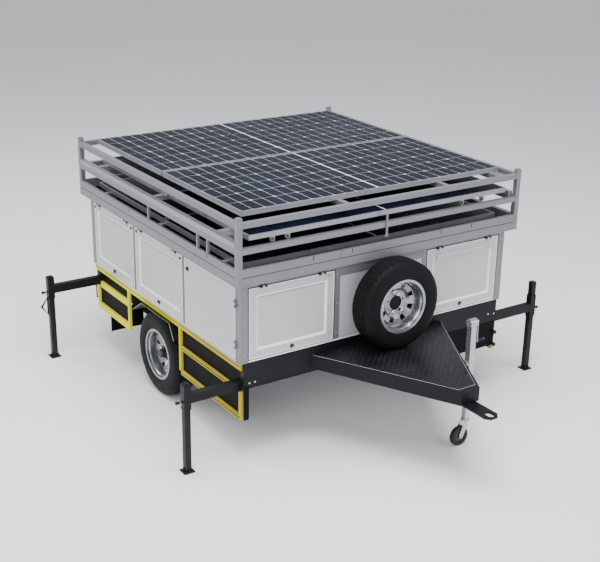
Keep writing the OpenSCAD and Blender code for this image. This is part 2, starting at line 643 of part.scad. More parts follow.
// Frame bars of a side-by-side pair of modules with the left front corner at the origin
module frame_pair(top) for (j = [0, 1]) translate([0, j * (module_w + module_gap), top - module_t]) {
    r = module_rim;
    for (y = [0, module_w - r]) translate([0, y, 0]) cube([module_l, r, module_t]);
    for (x = [0, module_l - r]) translate([x, r + weld, 0]) cube([r, module_w - 2 * r - 2 * weld, module_t]);
}
module glass_pair(top) for (j = [0, 1])
    translate([module_rim + weld, j * (module_w + module_gap) + module_rim + weld, top - glass_t - 1])
        cube([module_l - 2 * module_rim - 2 * weld, module_w - 2 * module_rim - 2 * weld, glass_t]);
module top_frames() color("#c8cacd")
    translate([-module_l / 2, -array_w / 2, 0]) frame_pair(rail_top + weld + module_t);
module top_glass() color("#15171f")
    translate([-module_l / 2, -array_w / 2, 0]) glass_pair(rail_top + weld + module_t);

// Left tray: slides out to the left above the middle rails
tray_l_z = mid_top + fit;
tray_l_top = tray_l_z + tube + weld + module_t;
tray_l_y = -ry + tube + gap + 2;         // front edge of its modules
tray_half = ry - tube - gap;             // clear half width between the posts
module tray_left_frame() color("#b7babe") {
    z1 = tray_l_z + tube;
    block([-rx, -tray_half, tray_l_z], [-rx + tube, tray_half, z1]);
    block([rx - 2 * tube - gap, -tray_half, tray_l_z], [rx - tube - gap, tray_half, z1]);
    for (y = [-tray_rail_y, 0, tray_rail_y])
        block([-rx + tube + weld, y - 19, tray_l_z], [rx - 2 * tube - gap - weld, y + 19, z1]);
    translate([-module_l / 2, tray_l_y, 0]) frame_pair(tray_l_top);
    for (x = [-960, -840, 700, 900]) // clips from the front frame bar down to the rail
        translate([x, tray_l_y, 0]) difference() {
            block([0, 2, tray_l_z + 2], [26, 30, z1]);
            block([-1, -1, tray_l_z + 10], [20, 24, z1 - 8]);
        }
}
module tray_left_glass() color("#15171f")
    translate([-module_l / 2, tray_l_y, 0]) glass_pair(tray_l_top);

// Right tray: slides out to the right between the roof deck and the middle rails
tray_r_z = deck_z + fit;
tray_r_top = tray_r_z + 14 + weld + module_t;
module tray_right_frame() color("#b7babe") {
    z1 = tray_r_z + 14;
    block([rx - tube, -tray_half, tray_r_z], [rx, tray_half, band_top]);
    for (y = [-tray_rail_y, 0, tray_rail_y])
        block([-rx + tube + gap, y - 19, tray_r_z], [rx - tube - weld, y + 19, z1]);
    translate([-module_l / 2, -array_w / 2, 0]) frame_pair(tray_r_top);
    color("#1b1c1e") for (s = [-1, 1]) translate([rx, s * (tray_half - 60), band_top - 24]) {
        block([0, -6, -8], [34, 6, 8]); // pull handle stand-offs
        block([24, -6, 8 + weld], [34, 6, 70]);
    }
}
module tray_right_glass() color("#15171f")
    translate([-module_l / 2, -array_w / 2, 0]) glass_pair(tray_r_top);

// ---- Outriggers ----------------------------------------------------------------------------
// Each outrigger is drawn at the front left and mirrored to its corner; i picks its corner
corner_x = [-1, 1, -1, 1];
corner_y = [-1, -1, 1, 1];
module at_corner(i) mirror([corner_x[i] > 0 ? 1 : 0, 0, 0])
    mirror([0, corner_y[i] > 0 ? 1 : 0, 0]) translate([-bx - leg_out[i], -beam_y, 0]) children();
function sleeve_z(i) = beam_mid_z[i < 2 ? 0 : 1] - sleeve_low;
module beam(i) color("#1d1e20") at_corner(i) translate([0, 0, sleeve_z(i)]) {
    translate([sleeve_w / 2, 0, sleeve_low]) difference() { // beam tube with its end welded to the sleeve
        block([weld, -beam_w / 2, -beam_h / 2], [beam_l, beam_w / 2, beam_h / 2]);
        block([20, tube_wall - beam_w / 2, tube_wall - beam_h / 2],
              [beam_l + 1, beam_w / 2 - tube_wall, beam_h / 2 - tube_wall]);
    }
    square_tube(sleeve_w, sleeve_h, tube_wall);
    // lock pin with its knob on the outer face
    translate([0, 0, 60]) {
        rod_x(7, -sleeve_w / 2 - 34, -sleeve_w / 2 - weld);
        rod_x(12, -sleeve_w / 2 - 50, -sleeve_w / 2 - 34 - weld);
    }
    if (corner_y[i] > 0) lift_loop();
}
module leg(i) color("#1d1e20") at_corner(i) {
    top = sleeve_z(i) + sleeve_h + leg_above[i];
    translate([0, 0, foot_t + weld]) square_tube(leg_w, top - foot_t - weld - 4, tube_wall);
    translate([-leg_w / 2, -leg_w / 2, top - 4 + weld]) cube([leg_w, leg_w, 6]);
    translate([-foot_w / 2, -foot_w / 2, 0]) cube([foot_w, foot_w, foot_t]);
}
// Flat three-cornered loop on the outer face of a rear sleeve, hanging below it
module lift_loop() translate([-sleeve_w / 2 - weld, 4.5, 0]) rotate([90, 0, 0]) linear_extrude(9)
    difference() {
        polygon([[0, 20], [0, -150], [-66, -65]]);
        polygon([[-10, 1], [-10, -131], [-49, -65]]);
    }
module beam_front_left() beam(0);
module beam_front_right() beam(1);
module beam_rear_left() beam(2);
module beam_rear_right() beam(3);
module leg_front_left() leg(0);
module leg_front_right() leg(1);
module leg_rear_left() leg(2);
module leg_rear_right() leg(3);

// ---- Jockey wheel --------------------------------------------------------------------------
module jack_tube() color("#b3b6b9") translate([jack_x, jack_y, 0]) {
    translate([0, 0, jack_foot_z]) square_tube(jack_w, jack_head_z - jack_foot_z, tube_wall);
    w = jack_w / 2;
    difference() { // round gear head on a square neck
        union() {
            block([-w, -w, jack_head_z + weld], [w, w, crank_z]);
            translate([0, 0, crank_z]) rod_x(30, -w - 9, w + 9);
        }
        translate([0, 0, crank_z]) rod_x(9 + run, 0, w + 10);
    }
    // bracket to the drawbar arm, above and below
    back = 12 / arm_slope;
    for (z = [drawbar_z + 12, arm_top - 24]) translate([0, 0, z]) linear_extrude(10) polygon([
        [-w - weld, -40], [-w - weld, back], [2 * weld - w - jack_out + back * arm_slope, back],
        [2 * weld - w - jack_out - 40 * arm_slope, -40]]);
}
module jack_inner() color("#c2c5c8") translate([jack_x, jack_y, 0]) {
    translate([-inner_w / 2, -inner_w / 2, fork_top + 8]) cube([inner_w, inner_w, jack_head_z - fork_top - 120]);
    translate([0, 0, fork_top + fit]) cylinder(r = 26, h = 8 - fit - weld);
    translate([0, 0, fork_top - 22]) cylinder(r = 8, h = 22 + fit + 0.5);
}
module jack_crank() color("#8d9094") translate([jack_x, jack_y, crank_z]) {
    w = jack_w / 2;
    rod_x(9, w - 14, w + 26);
    translate([w + 26 + weld, 0, 0]) {
        translate([0, -7, -160]) cube([6, 14, 170]);
        translate([6 + weld, 0, -148]) rod_x(9, 0, 62);
    }
}
module caster_fork() color("#a4a7aa") translate([jack_x, jack_y, 0]) {
    difference() {
        translate([0, 0, fork_top - 8]) cylinder(r = 30, h = 8);
        translate([0, 0, fork_top - 30]) cylinder(r = 8 + run, h = 40);
    }
    both_ends() difference() {
        rotate([90, 0, 0]) translate([0, 0, 22]) linear_extrude(4) polygon([
            [-26, fork_top - 8 - weld], [20, fork_top - 8 - weld], [-caster_trail + 16, caster_d / 2 - 12],
            [-caster_trail - 16, caster_d / 2 - 12], [-caster_trail - 16, caster_d / 2 + 14]]);
        translate([-caster_trail, 0, caster_d / 2]) rod_y(6, -40, 40);
    }
    translate([-caster_trail, 0, caster_d / 2]) {
        rod_y(6, -26, 26);
        both_ends() rod_y(10, -32, -26 - weld);
    }
}
module caster_wheel() color("#303134") translate([jack_x - caster_trail, jack_y, caster_d / 2])
    rotate([90, 0, 0]) rotate_extrude($fn = 96) polygon([[6 + run, -20], [22, -20], [22, -11],
        [44, -11], [47, -18], [caster_d / 2 - 4, -18], [caster_d / 2, -12], [caster_d / 2, 12],
        [caster_d / 2 - 4, 18], [47, 18], [44, 11], [22, 11], [22, 20], [6 + run, 20]]);

module hub_left() at_wheel(-1) wheel_hub();
module hub_right() at_wheel(1) wheel_hub();
module rim_left() at_wheel(-1) wheel_rim();
module rim_right() at_wheel(1) wheel_rim();
module tyre_left() at_wheel(-1) wheel_tyre();
module tyre_right() at_wheel(1) wheel_tyre();
module spare_rim() at_spare() wheel_rim();
module spare_tyre() at_spare() wheel_tyre();

// The origin is on the ground under the middle of the whole length
module placed() translate([0, -mid_y, 0]) children();

placed() chassis_frame();
placed() side_sheets();
placed() side_frames();
placed() mudguards();
placed() tail_lights();
placed() drawbar_frame();
placed() drawbar_deck();
placed() tow_eye();
placed() suspension();
placed() hub_left();
placed() hub_right();
placed() rim_left();
placed() rim_right();
placed() tyre_left();
placed() tyre_right();
placed() spare_carrier();
placed() spare_rim();
placed() spare_tyre();
placed() body_frame();
placed() body_shell();
placed() door_hinges();
placed() door_left_rear();
placed() door_left_mid();
placed() door_left_front();
placed() door_right_rear();
placed() door_right_mid();
placed() flap_front_left();
placed() flap_front_right();
placed() rear_door();
placed() latch_left_rear();
placed() latch_left_mid();
placed() latch_left_front();
placed() latch_right_rear();
placed() latch_right_mid();
placed() latch_front_left();
placed() latch_front_right();
placed() latch_rear();
placed() battery_bank();
placed() inverter();
placed() roof_skirt();
placed() roof_frame();
placed() top_frames();
placed() top_glass();
placed() tray_left_frame();
placed() tray_left_glass();
placed() tray_right_frame();
placed() tray_right_glass();
placed() beam_front_left();
placed() beam_front_right();
placed() beam_rear_left();
placed() beam_rear_right();
placed() leg_front_left();
placed() leg_front_right();
placed() leg_rear_left();
placed() leg_rear_right();
placed() jack_tube();
placed() jack_inner();
placed() jack_crank();
placed() caster_fork();
placed() caster_wheel();
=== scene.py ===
import json
import math
import random

import bmesh
import bpy
from mathutils import Matrix, Vector


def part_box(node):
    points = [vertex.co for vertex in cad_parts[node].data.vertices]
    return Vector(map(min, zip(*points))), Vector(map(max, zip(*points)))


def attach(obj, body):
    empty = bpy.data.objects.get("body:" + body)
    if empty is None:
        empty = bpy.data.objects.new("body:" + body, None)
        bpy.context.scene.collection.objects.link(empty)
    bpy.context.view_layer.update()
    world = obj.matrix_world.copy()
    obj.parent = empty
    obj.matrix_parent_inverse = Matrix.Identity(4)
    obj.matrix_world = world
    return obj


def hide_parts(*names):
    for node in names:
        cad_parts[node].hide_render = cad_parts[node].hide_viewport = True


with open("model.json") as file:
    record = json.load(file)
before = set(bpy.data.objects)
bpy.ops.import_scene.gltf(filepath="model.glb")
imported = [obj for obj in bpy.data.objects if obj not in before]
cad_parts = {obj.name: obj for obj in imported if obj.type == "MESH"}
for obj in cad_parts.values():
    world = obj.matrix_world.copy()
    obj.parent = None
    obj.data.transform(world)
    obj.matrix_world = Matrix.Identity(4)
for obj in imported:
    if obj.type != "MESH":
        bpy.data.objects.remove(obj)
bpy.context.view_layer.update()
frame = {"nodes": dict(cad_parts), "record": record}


def box_of(node):
    """The two corners of a CAD node's box."""
    return tuple(Vector(c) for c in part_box(node))


def middle(node):
    """The middle of a CAD node's box."""
    lo, hi = box_of(node)
    return (lo + hi) / 2


# ---- Places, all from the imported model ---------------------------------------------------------
CAB_LO, CAB_HI = box_of("body_frame")
MID = (CAB_LO.y + CAB_HI.y) / 2          # middle of the cabinet along the trailer
BX, BY = CAB_HI.x, (CAB_HI.y - CAB_LO.y) / 2
FRONT, BACK = CAB_LO.y, CAB_HI.y
FLOOR_Z, BODY_TOP = CAB_LO.z, CAB_HI.z
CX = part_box("chassis_frame")[1][0]
ROOF_LO, ROOF_HI = box_of("roof_skirt")
SLOTS = {r["node"]: r["material_slot"] for r in frame["record"]["subparts"]}
SIDES = (-1, 1)
LEFT, RIGHT = SIDES
random.seed(7)


# ---- Mesh helpers ------------------------------------------------------------------------------
def add_box(bm, lo, hi, bevel=0.0):
    """A box between two corners, with its edges rounded by bevel."""
    lo, hi = Vector(lo), Vector(hi)
    made = bmesh.ops.create_cube(bm, size=1.0)["verts"]
    for v in made:
        v.co = Vector(((lo[i] + hi[i]) / 2 + v.co[i] * (hi[i] - lo[i])) for i in range(3))
    if bevel:
        edges = list({e for v in made for e in v.link_edges})
        bmesh.ops.bevel(bm, geom=edges, offset=bevel, segments=2, affect="EDGES", profile=0.6)


def frame_of(axis):
    """Rotation that takes +Z to axis."""
    return Vector(axis).normalized().to_track_quat("Z", "Y").to_matrix()


def add_lathe(bm, centre, axis, prof, n=24, turn=0.0):
    """A body turned round axis at centre. prof lists (radius, height along the axis) from end to end."""
    rot, centre = frame_of(axis), Vector(centre)
    rings = []
    for r, h in prof:
        if r < 1e-7:
            rings.append([bm.verts.new(centre + rot @ Vector((0, 0, h)))])
            continue
        ring = []
        for i in range(n):
            a = 2 * math.pi * i / n + turn
            ring.append(bm.verts.new(centre + rot @ Vector((r * math.cos(a), r * math.sin(a), h))))
        rings.append(ring)
    for a, b in zip(rings, rings[1:]):
        for i in range(n):
            j = (i + 1) % n
            quad = [a[i % len(a)], a[j % len(a)], b[j % len(b)], b[i % len(b)]]
            quad = [v for k, v in enumerate(quad) if v not in quad[:k]]
            if len(quad) > 2:
                bm.faces.new(quad)
    for ring in (rings[0], rings[-1]):
        if len(ring) > 2:
            bm.faces.new(ring)


def add_tube(bm, pts, r, n=12):
    """A round rod along a run of points, closed at both ends."""
    pts = [Vector(p) for p in pts]
    rings, side = [], None
    for i, p in enumerate(pts):
        ahead = (pts[min(i + 1, len(pts) - 1)] - pts[max(i - 1, 0)]).normalized()
        if side is None:
            side = ahead.orthogonal().normalized()
        side = (side - ahead * side.dot(ahead)).normalized()
        up = ahead.cross(side)
        rings.append([bm.verts.new(p + r * (side * math.cos(t) + up * math.sin(t)))
                      for t in (2 * math.pi * k / n for k in range(n))])
    for a, b in zip(rings, rings[1:]):
        for i in range(n):
            bm.faces.new([a[i], a[(i + 1) % n], b[(i + 1) % n], b[i]])
    bm.faces.new(rings[0])
    bm.faces.new(rings[-1])


def add_prism(bm, base, rise):
    """A solid between a flat outline and the same outline moved by rise."""
    low = [bm.verts.new(Vector(p)) for p in base]
    high = [bm.verts.new(Vector(p) + Vector(rise)) for p in base]
    bm.faces.new(low)
    bm.faces.new(high)
    for i in range(len(low)):
        j = (i + 1) % len(low)
        bm.faces.new([low[i], low[j], high[j], high[i]])


def piece(name, bm, mat, body, sharp=35):
    """Turns a bmesh into a named piece that rides on a body."""
    bmesh.ops.recalc_face_normals(bm, faces=bm.faces)
    for f in bm.faces:
        f.smooth = True
    limit = math.radians(sharp)
    for e in bm.edges:
        e.smooth = len(e.link_faces) == 2 and e.calc_face_angle(0.0) < limit
    mesh = bpy.data.meshes.new(name)
    bm.to_mesh(mesh)
    bm.free()
    mesh.materials.append(mat)
    obj = bpy.data.objects.new(name, mesh)
    bpy.context.scene.collection.objects.link(obj)
    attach(obj, body)
    return obj


def hex_bolt(bm, at, axis, r=0.009):
    """A hexagon head on a washer, standing on a surface at a point."""
    add_lathe(bm, at, axis, [(r * 1.35, 0), (r * 1.35, r * 0.18), (0, r * 0.18)], 20)
    add_lathe(bm, at, axis, [(r, r * 0.18), (r, r * 0.72), (r * 0.86, r * 0.85), (0, r * 0.85)], 6,
              random.uniform(0, 1))


def dome(bm, at, axis, r=0.006):
    """A rivet or button head."""
    add_lathe(bm, at, axis, [(r, 0), (r, r * 0.15), (r * 0.8, r * 0.42), (r * 0.42, r * 0.6),
                             (0, r * 0.65)], 16)


# ---- Materials ---------------------------------------------------------------------------------
def scaled(c, k):
    """A colour made lighter or darker by k, with full alpha."""
    return tuple(min(1.0, x * k) for x in c[:3]) + (1.0,)


class Nodes:
    """A thin layer over a material's node tree."""

    def __init__(self, name):
        self.mat = bpy.data.materials.new(name)
        self.mat.use_nodes = True
        self.tree = self.mat.node_tree
        self.shader = self.tree.nodes["Principled BSDF"]
        self.where = self.add("ShaderNodeTexCoord").outputs["Object"]

    def add(self, kind, **values):
        n = self.tree.nodes.new(kind)
        for k, v in values.items():
            setattr(n, k, v)
        return n

    def link(self, a, b):
        self.tree.links.new(a, b)

    def stretched(self, scale):
        m = self.add("ShaderNodeMapping")
        m.inputs["Scale"].default_value = scale
        self.link(self.where, m.inputs["Vector"])
        return m.outputs["Vector"]

    def noise(self, scale, detail=4.0, stretch=None):
        n = self.add("ShaderNodeTexNoise")
        n.inputs["Scale"].default_value = scale
        n.inputs["Detail"].default_value = detail
        self.link(self.stretched(stretch) if stretch else self.where, n.inputs["Vector"])
        return n.outputs["Fac"]

    def ramp(self, value, a, b, to_a=0.0, to_b=1.0):
        m = self.add("ShaderNodeMapRange")
        self.link(value, m.inputs["Value"])
        for i, v in zip((1, 2, 3, 4), (a, b, to_a, to_b)):
            m.inputs[i].default_value = v
        return m.outputs["Result"]

    def math(self, op, a, b):
        m = self.add("ShaderNodeMath", operation=op)
        for i, v in enumerate((a, b)):
            if isinstance(v, float):
                m.inputs[i].default_value = v
            else:
                self.link(v, m.inputs[i])
        return m.outputs[0]

    def mix(self, fac, a, b):
        m = self.add("ShaderNodeMix", data_type="RGBA")
        self.link(fac, m.inputs["Factor"])
        for k, v in ((6, a), (7, b)):
            if isinstance(v, tuple):
                m.inputs[k].default_value = v
            else:
                self.link(v, m.inputs[k])
        return m.outputs[2]

    def axis(self, i):
        s = self.add("ShaderNodeSeparateXYZ")
        self.link(self.where, s.inputs[0])
        return s.outputs[i]

    def bump(self, height, strength, distance=0.001):
        b = self.add("ShaderNodeBump")
        b.inputs["Strength"].default_value = strength
        b.inputs["Distance"].default_value = distance
        self.link(height, b.inputs["Height"])
        self.link(b.outputs["Normal"], self.shader.inputs["Normal"])


def finish(name, base, rough, metal=0.0, vary=0.06, scale=5.0, stretch=None, grain=(600.0, 0.1),
           specks=None, dust=None, coat=0.0, painted_shade_fade=None, spec=0.5):
    """A surface with cloudy colour, uneven gloss and fine grain, and specks and road dust if asked for."""
    m = Nodes(name)
    m.shader.inputs["Metallic"].default_value = metal
    m.shader.inputs["Coat Weight"].default_value = coat
    m.shader.inputs["Specular IOR Level"].default_value = spec
    m.shader.inputs["Coat Roughness"].default_value = 0.12
    cloud = m.noise(scale, 6.0, stretch)
    # painted shade: the colour runs from the darker base colour at the front to the lighter colour at the
    # back
    if painted_shade_fade:                             # the colour changes along the trailer
        other, y0, y1 = painted_shade_fade
        colour = m.mix(m.ramp(m.axis(1), y0, y1), scaled(base, 1), scaled(other, 1))
        colour = m.mix(m.ramp(cloud, 0.35, 0.75, 0.0, 0.25), colour, scaled(base, 0.6))
    else:
        colour = m.mix(m.ramp(cloud, 0.3, 0.7), scaled(base, 1 - vary), scaled(base, 1 + vary))
    if specks:
        tint, size, least, amount = specks
        spots = m.ramp(m.noise(size, 3.0), least, least + 0.08, 0.0, amount)
        colour = m.mix(spots, colour, scaled(tint, 1))
    if dust:
        tint, amount, z0, z1 = dust
        low = m.ramp(m.axis(2), z0, z1, amount, 0.0)
        colour = m.mix(m.math("MULTIPLY", low, m.ramp(m.noise(9.0, 8.0), 0.3, 0.7)), colour, scaled(tint, 1))
    m.link(colour, m.shader.inputs["Base Color"])
    m.link(m.ramp(cloud, 0.25, 0.75, max(0.03, rough - 0.06), rough + 0.08), m.shader.inputs["Roughness"])
    m.bump(m.noise(grain[0], 3.0, stretch), grain[1])
    return m.mat


WIRE_PITCH = 0.0182                          # between the collector wires of a cell


def solar_cell():
    """Dark blue-black silicon behind glass, with fine collector wires along the module."""
    m = Nodes("solar_cell")
    tone = m.ramp(m.noise(2.2, 2.0), 0.35, 0.65)
    colour = m.mix(tone, (0.0022, 0.0030, 0.0075, 1), (0.0050, 0.0075, 0.0190, 1))
    wire = m.math("FRACT", m.math("MULTIPLY", m.axis(1), 1 / WIRE_PITCH), 0.0)
    colour = m.mix(m.ramp(wire, 0.06, 0.05, 0.0, 0.35), colour, (0.045, 0.050, 0.065, 1))
    m.link(colour, m.shader.inputs["Base Color"])
    m.link(m.ramp(m.noise(1.5, 3.0), 0.3, 0.7, 0.20, 0.30), m.shader.inputs["Roughness"])
    m.shader.inputs["Specular IOR Level"].default_value = 0.035
    m.bump(m.noise(240.0, 2.0), 0.03)
    return m.mat


DUST = (0.42, 0.37, 0.31)
MAT = {
    "black_steel": finish("black_steel", (0.0060, 0.0068, 0.0090), 0.44, vary=0.3, grain=(900.0, 0.18),
                          spec=0.17, specks=((0.10, 0.10, 0.11), 70.0, 0.72, 0.4),
                          dust=(DUST, 0.035, 0.0, 0.6)),
    "backing_sheet": finish("backing_sheet", (0.0040, 0.0042, 0.0050), 0.60, vary=0.3, spec=0.07,
                            specks=((0.05, 0.05, 0.05), 40.0, 0.72, 0.3)),
    # the yellow frames are painted darker towards the front of the trailer: painted shade
    "yellow_frame": finish("yellow_frame", (0.50, 0.38, 0.008), 0.42, spec=0.2, grain=(700.0, 0.08),
                           painted_shade_fade=((0.80, 0.76, 0.010), MID - 0.7, MID + 0.5),
                           dust=(DUST, 0.03, 0.2, 0.5)),
    "red_lens": finish("red_lens", (0.42, 0.012, 0.012), 0.16, coat=0.6, grain=(260.0, 0.5)),
    # the checker plate's pale specks are painted glints, standing in for light caught on the raised diamonds
    "checker_plate": finish("checker_plate", (0.0075, 0.0082, 0.0098), 0.36, vary=0.4, scale=9.0, spec=0.22,
                            specks=((0.30, 0.30, 0.31), 75.0, 0.68, 0.9)),
    "hub_metal": finish("hub_metal", (0.030, 0.030, 0.033), 0.42, metal=0.4, vary=0.2),
    "rim_silver": finish("rim_silver", (0.34, 0.35, 0.37), 0.24, metal=0.9, scale=9.0, grain=(900.0, 0.06),
                         specks=((0.16, 0.15, 0.14), 40.0, 0.73, 0.3)),
    "tyre_rubber": finish("tyre_rubber", (0.0048, 0.0052, 0.0062), 0.55, vary=0.25, scale=14.0, spec=0.12,
                          grain=(420.0, 0.35), dust=(DUST, 0.02, 0.0, 0.25)),
    "frame_grey": finish("frame_grey", (0.19, 0.195, 0.205), 0.40, metal=0.25, stretch=(1, 1, 0.15),
                         grain=(500.0, 0.08)),
    "white_panel": finish("white_panel", (0.50, 0.505, 0.52), 0.34, vary=0.02, coat=0.15, grain=(380.0, 0.06),
                          dust=((0.60, 0.58, 0.55), 0.12, FLOOR_Z, FLOOR_Z + 0.12)),
    "hinge_black": finish("hinge_black", (0.008, 0.008, 0.009), 0.35, vary=0.2, grain=(900.0, 0.12),
                          spec=0.4),
    "latch_black": finish("latch_black", (0.007, 0.007, 0.008), 0.42, vary=0.2, grain=(700.0, 0.15),
                          spec=0.4),
    "battery_case": finish("battery_case", (0.05, 0.09, 0.20), 0.45, vary=0.1, grain=(500.0, 0.2)),
    "inverter_case": finish("inverter_case", (0.50, 0.52, 0.55), 0.38, grain=(500.0, 0.12)),
    "roof_aluminium": finish("roof_aluminium", (0.19, 0.197, 0.208), 0.36, metal=0.3, scale=3.0,
                             stretch=(1, 1, 6), grain=(420.0, 0.08),
                             specks=((0.24, 0.24, 0.25), 30.0, 0.69, 0.35)),
    "module_frame": finish("module_frame", (0.30, 0.31, 0.33), 0.30, metal=0.5, scale=4.0,
                           grain=(700.0, 0.05)),
    "solar_glass": finish("solar_glass", (0.60, 0.63, 0.68), 0.25, vary=0.04, grain=(300.0, 0.02), spec=0.15),
    "zinc_steel": finish("zinc_steel", (0.46, 0.47, 0.48), 0.28, metal=0.8, scale=12.0, grain=(500.0, 0.1),
                         specks=((0.20, 0.18, 0.16), 45.0, 0.68, 0.45)),
    "caster_rubber": finish("caster_rubber", (0.014, 0.014, 0.016), 0.60, vary=0.2, grain=(500.0, 0.25),
                            spec=0.3),
}
CELL = solar_cell()
CHROME = finish("chrome", (0.72, 0.73, 0.75), 0.12, metal=1.0, vary=0.04, grain=(300.0, 0.02))
BOLT = finish("zinc_bolt", (0.55, 0.55, 0.54), 0.35, metal=0.8, scale=30.0, grain=(900.0, 0.1))
# pale grey used as painted highlight on the guards' folded edges and for the worn edges of the deck plate
PALE_EDGE = finish("pale_edge", (0.45, 0.45, 0.44), 0.5, vary=0.15, scale=20.0)
SEAL = finish("seal_rubber", (0.008, 0.008, 0.009), 0.6, vary=0.2, grain=(700.0, 0.2), spec=0.3)
AMBER = finish("amber_lens", (0.62, 0.20, 0.01), 0.18, coat=0.6, grain=(260.0, 0.5))
INSERT = finish("black_insert", (0.006, 0.006, 0.007), 0.5, vary=0.2, spec=0.25)
# a brighter copy of the panel white for the mouldings and sill caps: painted highlight where their slopes and
# edges catch the light
HIGHLIGHT_WHITE = finish("painted_highlight_white", (0.88, 0.88, 0.89), 0.28, vary=0.02, coat=0.3, grain=(380.0, 0.04))
# dark grey for the painted shadow line under each door's upper moulding
SHADE = finish("sealant_grey", (0.16, 0.16, 0.17), 0.55, vary=0.1, grain=(500.0, 0.1))
MEMBRANE = finish("roof_membrane", (0.012, 0.013, 0.015), 0.60, vary=0.3, scale=3.0, grain=(300.0, 0.3),
                  spec=0.15)
CAST = finish("cast_hub", (0.055, 0.055, 0.060), 0.45, metal=0.5, vary=0.2, scale=20.0)

for node, obj in frame["nodes"].items():
    obj.data.materials.clear()
    obj.data.materials.append(MAT[SLOTS[node]])


# ---- Wheels ------------------------------------------------------------------------------------
# One half of the tyre's section as (radius, place across), from the bead to the shoulder.
SECTION = [(0.2033, 0.0864), (0.2033, 0.092), (0.2113, 0.094), (0.222, 0.0968), (0.2275, 0.0965),
           (0.229, 0.0985), (0.2453, 0.100), (0.262, 0.100), (0.2755, 0.0995), (0.277, 0.0982),
           (0.289, 0.099), (0.3005, 0.0957), (0.309, 0.0920), (0.3165, 0.0873), (0.321, 0.084),
           (0.3255, 0.0792), (0.329, 0.0738)]
INSIDE = [(0.320, 0.052), (0.313, 0.070), (0.289, 0.087), (0.2413, 0.088), (0.2053, 0.074), (0.1923, 0.076),
          (0.1923, 0.0844)]
AROUND = 288
TREAD_COLUMNS = 35
TREAD_HALF = 0.070
TYRE_R = 0.335                               # over the tread
STUD_R = 0.1397 / 2                          # radius of the ring of studs
VALVE_R = 0.1690


def tread_depth(x, k):
    """How deep the tread is cut at x across the tyre and step k round it."""
    zig = 0.003 * (1 - 2 * abs((k / 8) % 2 - 1))
    if min(abs(abs(x + zig) - g) for g in (0.021, 0.048)) < 0.0034:
        return 0.0065
    block = (k + (4 if x > 0 else 0)) % 8
    if abs(x) > 0.024 and block in (0, 1):
        return 0.0055
    if abs(x) <= 0.018 and (k + 2) % 8 == 0:
        return 0.003
    return 0.0


def tyre(name, node, centre, axis, body):
    """A tyre with sidewall steps and a cut tread round the CAD tyre's section."""
    bm = bmesh.new()
    rot, centre = frame_of(axis), Vector(centre)
    flat = [(None, TREAD_HALF * (1 - 2 * i / (TREAD_COLUMNS - 1))) for i in range(TREAD_COLUMNS)]
    mirrored = [(r, -x) for r, x in reversed(SECTION)]
    inner = [(r, -x) for r, x in reversed(INSIDE)] + INSIDE
    loop = SECTION + flat + mirrored + inner
    rings = []
    for k in range(AROUND):
        a = 2 * math.pi * k / AROUND
        ring = []
        for r, x in loop:
            if r is None:
                r = TYRE_R - 0.0035 * (x / TREAD_HALF) ** 2 - tread_depth(x, k)
            elif 0.3085 < r < 0.327 and k % 8 in (0, 1):
                r -= 0.0025                  # shoulder notches
            ring.append(bm.verts.new(centre + rot @ Vector((r * math.cos(a), r * math.sin(a), x))))
        rings.append(ring)
    n = len(loop)
    for k in range(AROUND):
        a, b = rings[k], rings[(k + 1) % AROUND]
        for i in range(n):
            bm.faces.new([a[i], a[(i + 1) % n], b[(i + 1) % n], b[i]])
    obj = piece(name, bm, MAT["tyre_rubber"], body, sharp=30)
    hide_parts(node)


def wheel_trim(name, centre, out, body, studs):
    """Bright nut caps on the studs and a valve in the rim; out points away from the trailer."""
    bm = bmesh.new()
    rot, centre, out = frame_of(out), Vector(centre), Vector(out)
    for i in studs:
        up = Vector((0, 0, 1)) * math.cos(math.radians(72 * i))
        side = out.cross(Vector((0, 0, 1))) * math.sin(math.radians(72 * i))
        at = centre + (up + side) * STUD_R + out * 0.0005
        cap = [(0.0190, 0), (0.0190, 0.003), (0.0172, 0.004), (0.0172, 0.022), (0.0150, 0.0290),
               (0.0090, 0.0325), (0, 0.0335)]
        add_lathe(bm, at, out, cap, 6, 0.3 * i)
    valve = centre + rot @ Vector((VALVE_R * math.cos(0.9), VALVE_R * math.sin(0.9), 0.004))
    add_lathe(bm, valve, out, [(0.0055, 0), (0.0055, 0.010), (0.004, 0.011), (0.004, 0.028), (0, 0.029)], 12)
    piece(name, bm, CHROME, body)


AXLE = {LEFT: middle("tyre_left"), RIGHT: middle("tyre_right")}
SPARE = middle("spare_tyre")
for s, side in ((LEFT, "left"), (RIGHT, "right")):
    tyre(f"tread_tyre_{side}", f"tyre_{side}", AXLE[s], (s, 0, 0), f"wheel_{side}")
    wheel_trim(f"wheel_trim_{side}", AXLE[s], (s, 0, 0), f"wheel_{side}", range(5))
tyre("tread_tyre_spare", "spare_tyre", SPARE, (0, -1, 0), "trailer")
wheel_trim("wheel_trim_spare", SPARE, (0, -1, 0), "trailer", (0, 2, 3))


# ---- Solar modules -----------------------------------------------------------------------------
CELL_ROWS, HALF_CELLS = 6, 24
CELL_W, CELL_L, CELL_GAP, MID_LINE, CLIP = 0.1810, 0.0907, 0.0036, 0.011, 0.0110
BETWEEN_GLASS = 0.0444                       # frames and gap between the two modules of a pair
TIGHT_GAP, TIGHT_CLIP = 0.0008, 0.0020       # cells of the tray modules lie nearly edge to edge


